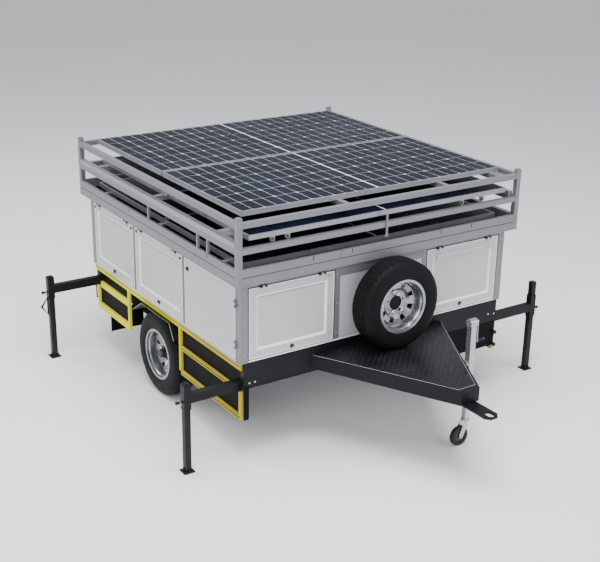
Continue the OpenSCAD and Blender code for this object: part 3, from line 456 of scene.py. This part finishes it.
def cells(name, node, body, gap=CELL_GAP, clip=CLIP):
    """Chamfered half cells on both modules of a pair, just proud of the CAD glass."""
    cell_w, cell_l = CELL_W + CELL_GAP - gap, CELL_L + CELL_GAP - gap
    lo, hi = box_of(node)
    bm = bmesh.new()
    width = (hi.y - lo.y - BETWEEN_GLASS) / 2    # clear width of one module
    for base in (lo.y, hi.y - width):
        row_pitch = cell_w + gap
        y0 = base + (width - CELL_ROWS * row_pitch + gap) / 2
        pitch = cell_l + gap
        span = HALF_CELLS * pitch + MID_LINE
        x0 = (lo.x + hi.x) / 2 - span / 2 + gap / 2
        for i in range(HALF_CELLS):
            xa = x0 + i * pitch + (MID_LINE if i >= HALF_CELLS // 2 else 0.0)
            xb = xa + cell_l
            ca, cb = (clip, 0.0006) if i % 2 == 0 else (0.0006, clip)
            for j in range(CELL_ROWS):
                ya = y0 + j * row_pitch
                yb = ya + cell_w
                outline = [(xa + ca, ya), (xb - cb, ya), (xb, ya + cb), (xb, yb - cb), (xb - cb, yb),
                           (xa + ca, yb), (xa, yb - ca), (xa, ya + ca)]
                add_prism(bm, [(x, y, hi.z + 0.00005) for x, y in outline], (0, 0, 0.0004))
    piece(name, bm, CELL, body)


cells("cells_top", "top_glass", "trailer")
cells("cells_left", "tray_left_glass", "tray_left", TIGHT_GAP, TIGHT_CLIP)
cells("cells_right", "tray_right_glass", "tray_right", TIGHT_GAP, TIGHT_CLIP)


def module_clamps(name, node, body):
    """Three clamps between the two modules of a pair."""
    lo, hi = box_of(node)
    bm = bmesh.new()
    mid = (lo.y + hi.y) / 2
    for x in [lo.x + 0.35 + 0.79 * i for i in range(3)]:
        add_box(bm, (x - 0.025, mid - 0.0085, hi.z - 0.034),
                (x + 0.025, mid + 0.0085, hi.z - 0.0012), 0.0008)
    piece(name, bm, MAT["module_frame"], body)


module_clamps("clamps_top", "top_glass", "trailer")
module_clamps("clamps_left", "tray_left_glass", "tray_left")
module_clamps("clamps_right", "tray_right_glass", "tray_right")

# ---- Roof --------------------------------------------------------------------------------------
RX, RY0, RY1 = ROOF_HI.x, ROOF_LO.y, ROOF_HI.y
RAILS = (1.580, box_of("roof_frame")[1].z - 0.057)   # heights of the middle and top rail centres
RIVET_PITCH = 0.39
RIVETS = 7                                   # in a row along each side of the skirt
bm = bmesh.new()
for x in SIDES:
    for yy, out in ((RY0, -1), (RY1, 1)):
        for z in RAILS:                       # two bolts where each rail meets its post
            for dz in (-0.009, 0.009):
                dome(bm, (x * (RX - 0.019), yy, z + dz), (0, out, 0), 0.0035)
                dome(bm, (x * RX, yy - out * 0.019, z + dz), (x, 0, 0), 0.0045)
        for dx in (0.055, 0.075):
            dome(bm, (x * (RX - dx), yy, RAILS[0]), (0, out, 0), 0.0035)
for y, out in ((RY0, -1), (RY1, 1)):
    for i in range(RIVETS):
        dome(bm, ((i - 3) * RIVET_PITCH + 0.05, y, BODY_TOP + 0.030), (0, out, 0), 0.0035)
for s in SIDES:
    for i in range(RIVETS):
        dome(bm, (s * RX, MID + (i - 3) * RIVET_PITCH, BODY_TOP + 0.030), (s, 0, 0), 0.0045)
piece("roof_rivets", bm, BOLT, "trailer")

# black membrane over the roof deck, with lapped seams
DECK_TOP = BODY_TOP + 0.025
bm = bmesh.new()
edges = [RY0 + 0.042, MID - 0.972, MID - 0.928, MID + 0.928, MID + 0.972, RY1 - 0.042]
for a, b in zip(edges[::2], edges[1::2]):
    add_box(bm, (-RX + 0.042, a, DECK_TOP + 0.0001), (RX - 0.042, b, DECK_TOP + 0.0016), 0.0004)
for x in (-0.8, 0.0, 0.8):
    add_box(bm, (x - 0.05, edges[2], DECK_TOP + 0.0014), (x + 0.05, edges[3], DECK_TOP + 0.0028), 0.0004)
for y, out in ((RY0 + 0.0405, 1), (RY1 - 0.0405, -1)):   # turned up against the skirt
    near, far = sorted((y, y + out * 0.0015))
    add_box(bm, (-RX + 0.042, near, DECK_TOP), (RX - 0.042, far, BODY_TOP + 0.058), 0.0003)
piece("roof_membrane", bm, MEMBRANE, "trailer")

SLOT_MARKS = (-0.649, -0.321, 0.487, 0.780)
SLOT_Z = (1.425, 1.455)                      # lower and upper end of each slot in the skirt
GROOVE_Z = (1.3955, 1.3995)                  # between the two bands of the skirt
bm = bmesh.new()
for x in SLOT_MARKS:
    for y, out in ((RY0, -1), (RY1, 1)):
        add_box(bm, (x - 0.003, y - 0.0006, SLOT_Z[0]), (x + 0.003, y + 0.0006, SLOT_Z[1]), 0.0004)
for y in (MID - 0.87, MID + 0.35):
    add_box(bm, (-RX - 0.0006, y - 0.003, SLOT_Z[0]), (-RX + 0.0006, y + 0.003, SLOT_Z[1]), 0.0004)
for y, out in ((RY0, 1), (RY1, -1)):          # dark insert in the groove between the two bands
    add_box(bm, (-RX + 0.040, y + out * 0.0030, GROOVE_Z[0]), (RX - 0.040, y + out * 0.0065, GROOVE_Z[1]))
add_box(bm, (-RX + 0.0030, RY0 + 0.040, GROOVE_Z[0]), (-RX + 0.0065, RY1 - 0.040, GROOVE_Z[1]))
# a vertical joint line in the upper band
add_box(bm, (-0.4215, RY0 - 0.0005, 1.4005), (-0.4185, RY0 + 0.0005, 1.4568))
piece("skirt_slots", bm, INSERT, "trailer")


# ---- Cabinet -----------------------------------------------------------------------------------
SCREW_R = 0.0036
HINGE_Z = BODY_TOP - 0.046
DOOR_Z0, DOOR_Z1 = FLOOR_Z + 0.020, BODY_TOP - 0.048
BORDER, RECESS, SLOPE = 0.058, 0.010, 0.018


def hinge_screws(bm, x, y, out):
    """Four screw heads on the fixed half of a top hinge; out points away from the wall."""
    along = Vector((0, 0, 1)).cross(Vector(out))
    for k in SIDES:
        for dz in (0.013, 0.025):
            at = Vector((x, y, HINGE_Z + dz)) + along * (k * 0.019) + Vector(out) * 0.003
            dome(bm, at, out, SCREW_R)


BAY = BY / 3
SIDE_BAYS = ((BAY + 0.016, BY - 0.066), (0.016 - BAY, BAY - 0.016))
FRONT_DOOR = (0.422, BX - 0.066)
INSET = 0.110
bm = bmesh.new()
for s in SIDES:
    for a, b in SIDE_BAYS:
        for y in (a + INSET, b - INSET):
            hinge_screws(bm, s * BX, MID + y, (s, 0, 0))
    for x in (FRONT_DOOR[0] + INSET, FRONT_DOOR[1] - INSET):
        hinge_screws(bm, s * x, FRONT, (0, -1, 0))
for x in (-0.258, 0.258):
    hinge_screws(bm, x, BACK, (0, 1, 0))
piece("hinge_screws", bm, CHROME, "trailer")


def wall(side):
    """Function from (place along the wall, height, depth into the wall) to a point."""
    if side == "front":
        return lambda u, z, d: (u, FRONT + d, z)
    if side == "back":
        return lambda u, z, d: (u, BACK - d, z)
    s = LEFT if side == "left" else RIGHT
    return lambda u, z, d: (s * (BX - d), u, z)


def ring_round(bm, at, box, section):
    """A closed frame round a rectangle; section lists (inset, depth) corners of its profile."""
    u0, u1, z0, z1 = box
    rings = []
    for inset, depth in section:
        a, b, c, d = u0 + inset, u1 - inset, z0 + inset, z1 - inset
        corners = ((a, c), (b, c), (b, d), (a, d))
        rings.append([bm.verts.new(at(u, z, depth)) for u, z in corners])
    for k, a in enumerate(rings):
        b = rings[(k + 1) % len(rings)]
        for i in range(4):
            j = (i + 1) % 4
            bm.faces.new([a[i], a[j], b[j], b[i]])


FIELD = ((0.0003, 0.0004), (0.0003, RECESS - 0.0002), (SLOPE, RECESS - 0.0002))
LIP = ((0.0012, 0.0010), (0.0012, -0.0009), (0.0070, -0.0009), (0.0085, 0.0010))
# the black strip just outside each leaf is a door seal and also painted shade standing in for the dark gap
# round the door
SEAL_AND_GAP_SHADE = ((-0.0070, 0.0010), (-0.0070, -0.0007), (-0.0012, -0.0007), (-0.0012, 0.0010))
LEAVES = {"door_left_rear": "left", "door_left_mid": "left", "door_right_rear": "right",
          "door_right_mid": "right", "flap_front_left": "front", "flap_front_right": "front",
          "rear_door": "back", "door_left_front": "left"}


def shade_line(bm, at, u0, u1, z1):
    """A thin dark line right under the upper moulding: painted shadow."""
    a, b = at(u0 + SLOPE, z1 - SLOPE, RECESS), at(u1 - SLOPE, z1 - SLOPE - 0.005, RECESS - 0.0008)
    lo = [min(p, q) for p, q in zip(a, b)]
    hi = [max(p, q) for p, q in zip(a, b)]
    add_box(bm, lo, hi, 0.0002)


# black strips round the leaves: door seals, partly painted shade of the door gaps
seals_and_gap_shade = bmesh.new()
for node, side in LEAVES.items():
    n_lo, n_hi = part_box(node)
    k = 1 if side in ("left", "right") else 0
    u0 = FRONT + 0.066 if node == "door_left_front" else n_lo[k]
    leaf = (u0, n_hi[k], DOOR_Z0, DOOR_Z1)
    bm = bmesh.new()
    if node != "door_left_front":
        ring_round(bm, wall(side), (u0 + BORDER, n_hi[k] - BORDER, DOOR_Z0 + BORDER, DOOR_Z1 - BORDER), FIELD)
        # painted shadow: a thin dark line under the upper moulding
        line = bmesh.new()
        shade_line(line, wall(side), u0 + BORDER, n_hi[k] - BORDER, DOOR_Z1 - BORDER)
        piece("sealant_" + node, line, SHADE, node)
    ring_round(bm, wall(side), leaf, LIP)
    # the mouldings take the brighter copy of the panel white: painted highlight
    piece("mouldings_" + node, bm, HIGHLIGHT_WHITE, node)
    ring_round(seals_and_gap_shade, wall(side), leaf, SEAL_AND_GAP_SHADE)
piece("seals_and_gap_shade", seals_and_gap_shade, SEAL, "trailer")

# the two fixed panels at the back and white caps on the sills, in the brighter white as painted highlight,
# and a grey strip over the centre bay
bm = bmesh.new()
for s in SIDES:
    u = sorted((s * 0.4182, s * (BX - 0.0622)))
    ring_round(bm, lambda u, z, d: (u, BACK - 0.003 - d, z),
               (u[0] + BORDER, u[1] - BORDER, FLOOR_Z + 0.0162 + BORDER, BODY_TOP - 0.0442 - BORDER), FIELD)
    add_box(bm, (s * BX - 0.0014, FRONT + 0.064, FLOOR_Z + 0.0035),
            (s * BX + 0.0014, BACK - 0.064, FLOOR_Z + 0.0145), 0.0006)
for y in (FRONT, BACK):
    add_box(bm, (-BX + 0.064, y - 0.0014, FLOOR_Z + 0.0035),
            (BX - 0.064, y + 0.0014, FLOOR_Z + 0.0145), 0.0006)
piece("wall_mouldings", bm, HIGHLIGHT_WHITE, "trailer")
bm = bmesh.new()
add_box(bm, (-0.371, FRONT + 0.0005, 1.236), (0.371, FRONT + 0.0035, 1.290), 0.001)
piece("centre_strip", bm, MAT["frame_grey"], "trailer")

# round black buffers at the upper corners of the left doors
for node in ("door_left_rear", "door_left_mid"):
    n_lo, n_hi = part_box(node)
    bm = bmesh.new()
    for y in (n_lo[1] + 0.030, n_hi[1] - 0.030):
        add_lathe(bm, (-BX, y, DOOR_Z1 - 0.030), (-1, 0, 0),
                  [(0.010, 0), (0.010, 0.004), (0.008, 0.006), (0, 0.006)], 24)
    piece("buffers_" + node, bm, SEAL, node)
# bright strap plates beside the flap hinges
bm = bmesh.new()
for x in (FRONT_DOOR[0] + INSET, FRONT_DOOR[1] - INSET):
    add_box(bm, (0.032 - x, FRONT - 0.0018, DOOR_Z1 - 0.034),
            (0.072 - x, FRONT + 0.0005, DOOR_Z1 - 0.008), 0.0006)
    for dx in (0.041, 0.063):
        dome(bm, (dx - x, FRONT - 0.0018, DOOR_Z1 - 0.021), (0, -1, 0), 0.004)
piece("strap_plates", bm, BOLT, "flap_front_left")

# rivets on the columns, strips and rails that hold the walls together
bm = bmesh.new()
for s in SIDES:
    for z in (FLOOR_Z + 0.06, FLOOR_Z + 0.29, BODY_TOP - 0.08):
        for y in (-BAY, BAY):
            dome(bm, (s * BX, MID + y, z), (s, 0, 0), 0.0042)
        for y, out in ((FRONT, -1), (BACK, 1)):
            dome(bm, (s * (BX - 0.031), y, z), (0, out, 0), 0.0042)
            dome(bm, (s * 0.395, y, z), (0, out, 0), 0.0042)
piece("wall_rivets", bm, BOLT, "trailer")

# a dark weather strip under the roof, and a dark line along the sill that is painted shadow under the white
# sill caps
bm = bmesh.new()
for y, out in ((FRONT, -1), (BACK, 1)):
    add_box(bm, (-BX, y - 0.0015, BODY_TOP - 0.012), (BX, y + 0.0015, BODY_TOP - 0.001), 0.0007)
    add_box(bm, (-BX + 0.064, y - 0.0010, FLOOR_Z + 0.0005),
            (BX - 0.064, y + 0.0010, FLOOR_Z + 0.0030), 0.0004)
for s in SIDES:
    add_box(bm, (s * BX - 0.0015, FRONT, BODY_TOP - 0.010),
            (s * BX + 0.0015, BACK, BODY_TOP - 0.001), 0.0007)
    add_box(bm, (s * BX - 0.0010, FRONT + 0.02, FLOOR_Z + 0.0005),
            (s * BX + 0.0010, BACK - 0.02, FLOOR_Z + 0.0030), 0.0004)
piece("weather_strip_and_shadow_lines", bm, SEAL, "trailer")


def latch_lock(node, out):
    """A bright key barrel on a latch."""
    lo, hi = box_of(node)
    mid, out = (lo + hi) / 2, Vector(out)
    face = Vector([(hi if out[i] > 0 else lo)[i] if abs(out[i]) > 0.5 else mid[i] for i in range(3)])
    face.z = mid.z - 0.003
    bm = bmesh.new()
    add_lathe(bm, face - out * 0.0015, out,
              [(0.0062, 0), (0.0062, 0.0012), (0.0048, 0.0018), (0, 0.0018)], 20)
    piece(node + "_lock", bm, CHROME, node)


OUTWARD = {"left": (-1, 0, 0), "right": (1, 0, 0), "front": (0, -1, 0), "rear": (0, 1, 0)}
for place in ("left_rear", "left_mid", "left_front", "right_rear", "right_mid", "front_left", "front_right",
              "rear"):
    latch_lock("latch_" + place, OUTWARD[place.split("_")[0]])

# ---- Inside the cabinet ------------------------------------------------------------------------
BATT_LO, BATT_HI = box_of("battery_bank")
bm, leads = bmesh.new(), bmesh.new()
for j in range(2):
    for i in range(4):
        x = BATT_LO.x + 0.085 + i * 0.19
        y = BATT_LO.y + 0.165 + j * 0.35
        for k in SIDES:
            add_lathe(bm, (x + k * 0.05, y - 0.12, BATT_HI.z), (0, 0, 1),
                      [(0.011, 0), (0.011, 0.006), (0.007, 0.007), (0.007, 0.016), (0, 0.017)], 16)
        if i < 3:
            add_tube(leads, [(x + 0.05, y - 0.12, BATT_HI.z + 0.012), (x + 0.06, y - 0.12, BATT_HI.z + 0.030),
                             (x + 0.095, y - 0.12, BATT_HI.z + 0.036),
                             (x + 0.13, y - 0.12, BATT_HI.z + 0.030),
                             (x + 0.14, y - 0.12, BATT_HI.z + 0.012)], 0.006)
piece("battery_posts", bm, CHROME, "trailer")
piece("battery_links", leads, SEAL, "trailer")
INV_LO, INV_HI = box_of("inverter")
bm = bmesh.new()
for i in range(9):
    z = INV_LO.z + 0.05 + i * 0.016
    add_box(bm, (INV_LO.x + 0.08, INV_LO.y + 0.008, z), (INV_HI.x - 0.08, INV_LO.y + 0.0115, z + 0.006),
            0.001)
add_box(bm, (INV_LO.x + 0.12, INV_LO.y + 0.007, INV_HI.z - 0.13),      # dark panel
        (INV_LO.x + 0.26, INV_LO.y + 0.0115, INV_HI.z - 0.06), 0.002)
piece("inverter_vents", bm, INSERT, "trailer")

# ---- Chassis -----------------------------------------------------------------------------------
FRONT_BOLTS = ((-1.120, 0.590), (-1.075, 0.590), (-0.347, 0.668), (1.084, 0.636), (1.145, 0.628),
               (0.347, 0.668))
bm = bmesh.new()
for x, z in FRONT_BOLTS:
    hex_bolt(bm, (x, FRONT, z), (0, -1, 0), 0.0055)
for x in (-0.95, -0.35, 0.35, 0.95):
    hex_bolt(bm, (x, BACK, 0.70), (0, 1, 0), 0.008)
piece("chassis_bolts", bm, BOLT, "trailer")

bm = bmesh.new()
for z in (0.472, 0.366):
    add_lathe(bm, (CX - 0.012, FRONT + 0.001, z), (0, -1, 0),
              [(0.006, 0), (0.006, 0.012), (0.016, 0.014), (0.018, 0.020), (0.016, 0.028), (0, 0.030)], 12)
piece("plate_knobs", bm, INSERT, "trailer")

# the folded guards' outer edges, drawn pale: painted highlight where the fold catches the light
bm = bmesh.new()
GUARD_HI = box_of("mudguards")[1]
for s in SIDES:
    x = s * (GUARD_HI.x - 0.002)
    top = GUARD_HI.z - 0.004
    y0 = AXLE[s].y
    add_tube(bm, [(x, y0 - 0.304, top - 0.121), (x, y0 - 0.237, top - 0.002), (x, y0 - 0.225, top),
                  (x, y0 + 0.225, top), (x, y0 + 0.240, top - 0.004),
                  (x, y0 + 0.424, top - 0.123)], 0.0022, 8)
piece("guard_edge_highlights", bm, PALE_EDGE, "trailer")

# black insets that leave two yellow lines on each bar of the front ladders
LADDER_X = box_of("side_frames")[1].x
BARS = (0.310 + 0.016, 0.515 + 0.014)       # middle heights of the two bars
SILL_BAR = (0.712, 0.718)
bm = bmesh.new()
ladder_a, ladder_b = FRONT + 0.026, MID - 0.327
for s in SIDES:
    for z in BARS:
        start = ladder_a if z < 0.4 else FRONT + 0.112
        add_box(bm, (s * LADDER_X - 0.0006, start, z - 0.0055),
                (s * LADDER_X + 0.0006, ladder_b, z + 0.0055), 0.0004)
    add_box(bm, (s * LADDER_X - 0.0006, FRONT + 0.03, SILL_BAR[0]),
            (s * LADDER_X + 0.0006, BACK - 0.02, SILL_BAR[1]), 0.0004)
piece("ladder_insets", bm, INSERT, "trailer")

# lamps: an amber end and raised ribs on the rear lights
T_LO, T_HI = box_of("tail_lights")
bm, amber = bmesh.new(), bmesh.new()
for s in SIDES:
    for k in range(8):
        x = s * (CX - 0.050 - 0.017 * k)
        add_box(bm, (x - 0.002, T_HI.y - 0.002, T_LO.z + 0.008),
                (x + 0.002, T_HI.y + 0.0012, T_HI.z - 0.008), 0.0006)
    x = sorted((s * (CX - 0.205), s * (CX - 0.255)))
    add_box(amber, (x[0], T_HI.y - 0.001, T_LO.z + 0.005), (x[1], T_HI.y + 0.0015, T_HI.z - 0.005), 0.001)
piece("lamp_ribs", bm, MAT["red_lens"], "trailer")
piece("lamp_amber", amber, AMBER, "trailer")

# ---- Drawbar -----------------------------------------------------------------------------------
D_LO, D_HI = box_of("drawbar_deck")
DECK_Y0, DECK_Y1 = D_LO.y, D_HI.y
NOSE_HALF, BASE_HALF = 0.076, 0.594


def deck_half(y):
    """Half width of the deck at y."""
    return NOSE_HALF + (BASE_HALF - NOSE_HALF) * (y - DECK_Y0) / (DECK_Y1 - DECK_Y0)


bm = bmesh.new()
PITCH = 0.026
rows = int((DECK_Y1 - DECK_Y0) / PITCH)
for j in range(rows):
    y = DECK_Y0 + (j + 0.7) * PITCH
    for i in range(-24, 25):
        x = i * PITCH
        if abs(x) > deck_half(y) - 0.020:
            continue
        lean = 1 if (i + j) % 2 else -1
        d = Vector((0.0078, 0.0078 * lean, 0))
        w = Vector((-0.0020 * lean, 0.0020, 0))
        c = Vector((x, y, D_HI.z - 0.0001))
        base = [bm.verts.new(c + v) for v in (d, w, -d, -w)]
        top = [bm.verts.new(c + v * 0.62 + Vector((0, 0, 0.0010))) for v in (d, w, -d, -w)]
        bm.faces.new(top)
        bm.faces.new(base)
        for k in range(4):
            bm.faces.new([base[k], base[(k + 1) % 4], top[(k + 1) % 4], top[k]])
piece("checker_bars", bm, MAT["checker_plate"], "trailer")

bm = bmesh.new()
for s in SIDES:                               # at the nose and along both slanted edges of the deck
    hex_bolt(bm, (s * 0.045, DECK_Y0 - 0.020, D_LO.z), (0, 0, 1), 0.007)
    for y in (DECK_Y0 + 0.05, (DECK_Y0 + DECK_Y1) / 2, DECK_Y1 - 0.06):
        hex_bolt(bm, (s * (deck_half(y) - 0.012), y, D_HI.z), (0, 0, 1), 0.0055)
piece("deck_bolts", bm, MAT["hub_metal"], "trailer")

# worn bright edges of the deck plate
bm = bmesh.new()
for s in SIDES:
    ends = (DECK_Y0 + 0.001, DECK_Y1 - 0.001)
    add_tube(bm, [(s * (deck_half(y) - 0.001), y, D_HI.z - 0.0006) for y in ends], 0.0012, 8)
add_tube(bm, [(s * (NOSE_HALF - 0.001), DECK_Y0 + 0.001, D_HI.z - 0.0006) for s in SIDES], 0.0012, 8)
piece("deck_edges", bm, PALE_EDGE, "trailer")
E_LO, E_HI = box_of("tow_eye")
eye_y = E_LO.y + 0.050                        # middle of the slot
bm = bmesh.new()
rim = []                                      # a raised rim round the tow eye's slot
for end in SIDES:
    for k in range(13):
        a = math.pi * k / 12 + (math.pi if end < 0 else 0.0)
        rim.append((0.0275 * math.cos(a), eye_y + end * 0.013 + 0.0275 * math.sin(a), E_HI.z + 0.0008))
add_tube(bm, rim + rim[:2], 0.0030, 10)
piece("eye_rim", bm, MAT["black_steel"], "trailer")

# ---- Jockey wheel ------------------------------------------------------------------------------
J_LO, J_HI = box_of("jack_tube")
CRANK_X = box_of("jack_crank")[1].x
INNER_LO, INNER_HI = box_of("jack_inner")
JX, JY = (INNER_LO.x + INNER_HI.x) / 2, (INNER_LO.y + INNER_HI.y) / 2
CRANK_Z = J_HI.z - 0.030
bm = bmesh.new()
for k in range(4):                            # cover screws on the closed end of the round head
    a = math.pi / 4 + k * math.pi / 2
    dome(bm, (JX - 0.033, JY + 0.021 * math.cos(a), CRANK_Z + 0.021 * math.sin(a)), (-1, 0, 0), 0.0035)
for z in (J_LO.z + 0.170, J_LO.z + 0.240):
    hex_bolt(bm, (JX, JY - 0.024, z), (0, -1, 0), 0.007)
piece("jack_screws", bm, BOLT, "trailer")
bm = bmesh.new()
add_lathe(bm, (CRANK_X - 0.0595, JY, CRANK_Z - 0.148), (1, 0, 0),
          [(0.0092, 0), (0.0100, 0.002)] + [(0.0098 + 0.0008 * (k % 2),
                                             0.005 + 0.0045 * k) for k in range(11)] +
          [(0.0100, 0.0555), (0.0085, 0.0590), (0, 0.0593)], 20)
piece("crank_grip", bm, SEAL, "jack_crank")
W_MID = middle("caster_wheel")
bm = bmesh.new()
for out in SIDES:
    add_lathe(bm, (W_MID.x, JY + out * 0.0110, W_MID.z), (0, out, 0),
              [(0.044, 0), (0.044, 0.0012), (0.038, 0.003), (0.030, 0.003), (0.025, 0.0045),
               (0.0225, 0.0045)], 32)
    for k in range(6):
        a = k * math.pi / 3
        at = (W_MID.x + 0.034 * math.cos(a), JY + out * 0.0135, W_MID.z + 0.034 * math.sin(a))
        dome(bm, at, (0, out, 0), 0.004)
piece("caster_discs", bm, CAST, "caster_wheel")

# ---- Outriggers --------------------------------------------------------------------------------
for corner in ("front_left", "front_right", "rear_left", "rear_right"):
    s = LEFT if "left" in corner else RIGHT
    mid = middle("leg_" + corner)
    bm = bmesh.new()
    for z in [0.05 + 0.06 * k for k in range(5)]:      # pin holes down the leg
        for out in ((0, -1, 0), (0, 1, 0)):
            at = (mid.x, mid.y + out[1] * 0.0219, z + 0.02)
            add_lathe(bm, at, out, [(0.0075, 0), (0.0075, 0.0004), (0, 0.0004)], 20)
    piece("leg_holes_" + corner, bm, INSERT, "leg_" + corner)
    bm = bmesh.new()
    for k in range(4):                                  # gussets between the foot plate and the tube
        d = Vector((math.cos(k * math.pi / 2), math.sin(k * math.pi / 2), 0))
        w = Vector((-d.y, d.x, 0)) * 0.0025
        base = Vector((mid.x, mid.y, 0.0081)) + d * 0.0221
        add_prism(bm, [base - w, base + d * 0.018 - w, base + Vector((0, 0, 0.034)) - w], w * 2)
    piece("leg_gussets_" + corner, bm, MAT["black_steel"], "leg_" + corner)
    bm = bmesh.new()                                    # ring on the lock pin
    pin_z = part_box("beam_" + corner)[1][2] - 0.125
    ring = [(mid.x + s * 0.045, mid.y + 0.017 * math.cos(t), pin_z - 0.0082 + 0.017 * math.sin(t))
            for t in (2 * math.pi * k / 20 for k in range(20))]
    add_tube(bm, ring + ring[:2], 0.0018, 8)
    piece("pin_ring_" + corner, bm, BOLT, "beam_" + corner)

# ---- Camera, light and floor -------------------------------------------------------------------
# Fitted to the photograph: where the camera stands, how it is turned and its lens.
YAW, PITCH_DOWN, ROLL = math.radians(34.849), math.radians(20.893), math.radians(-1.378)
EYE = Vector((-4.7915, MID - 7.3041, 4.0408))
FOCAL, SHIFT_X, SHIFT_Y = 68.25, -0.0321, 0.0058
ahead = Vector((math.sin(YAW) * math.cos(PITCH_DOWN), math.cos(YAW) * math.cos(PITCH_DOWN),
                -math.sin(PITCH_DOWN)))
right = Vector((math.cos(YAW), -math.sin(YAW), 0))
down = ahead.cross(right)
right_rolled = right * math.cos(ROLL) + down * math.sin(ROLL)
down_rolled = down * math.cos(ROLL) - right * math.sin(ROLL)
camera = bpy.data.cameras.new("camera")
camera.sensor_width = 36.0
camera.lens = FOCAL
camera.shift_x = SHIFT_X
camera.shift_y = SHIFT_Y
camera_obj = bpy.data.objects.new("camera", camera)
camera_obj.matrix_world = Matrix.Translation(EYE) @ Matrix(
    (right_rolled, -down_rolled, -ahead)).transposed().to_4x4()
bpy.context.scene.collection.objects.link(camera_obj)
bpy.context.scene.camera = camera_obj


def area_light(name, at, aim, watts, size, tint=(1, 1, 1)):
    """A square lamp at a point, turned towards aim."""
    data = bpy.data.lights.new(name, "AREA")
    data.energy, data.size, data.color = watts, size, tint
    obj = bpy.data.objects.new(name, data)
    obj.location = at
    obj.rotation_mode = "QUATERNION"
    obj.rotation_quaternion = (Vector(aim) - Vector(at)).to_track_quat("-Z", "Y")
    bpy.context.scene.collection.objects.link(obj)


AIM = (0, MID, 0.9)
area_light("top", (-1.0, MID - 1.5, 8.5), AIM, 980, 5.5)
area_light("key", (-5.5, MID - 6.0, 5.0), AIM, 260, 4.5)
area_light("fill", (4.0, MID - 7.0, 4.0), AIM, 200, 5.0, (0.97, 0.98, 1.0))
area_light("back", (-5.5, MID + 5.5, 5.0), AIM, 240, 4.0)
world = bpy.data.worlds.new("studio")
world.use_nodes = True
world.node_tree.nodes["Background"].inputs["Color"].default_value = (0.94, 0.96, 1.0, 1)
world.node_tree.nodes["Background"].inputs["Strength"].default_value = 0.66
bpy.context.scene.world = world

bm = bmesh.new()
bmesh.ops.create_grid(bm, x_segments=1, y_segments=1, size=40)
mesh = bpy.data.meshes.new("floor")
bm.to_mesh(mesh)
bm.free()
floor = bpy.data.objects.new("floor", mesh)
floor.location.z = -0.0005
mesh.materials.append(finish("floor_pale", (0.93, 0.93, 0.94), 0.8, vary=0.01, scale=0.5, grain=(40.0, 0.02)))
bpy.context.scene.collection.objects.link(floor)
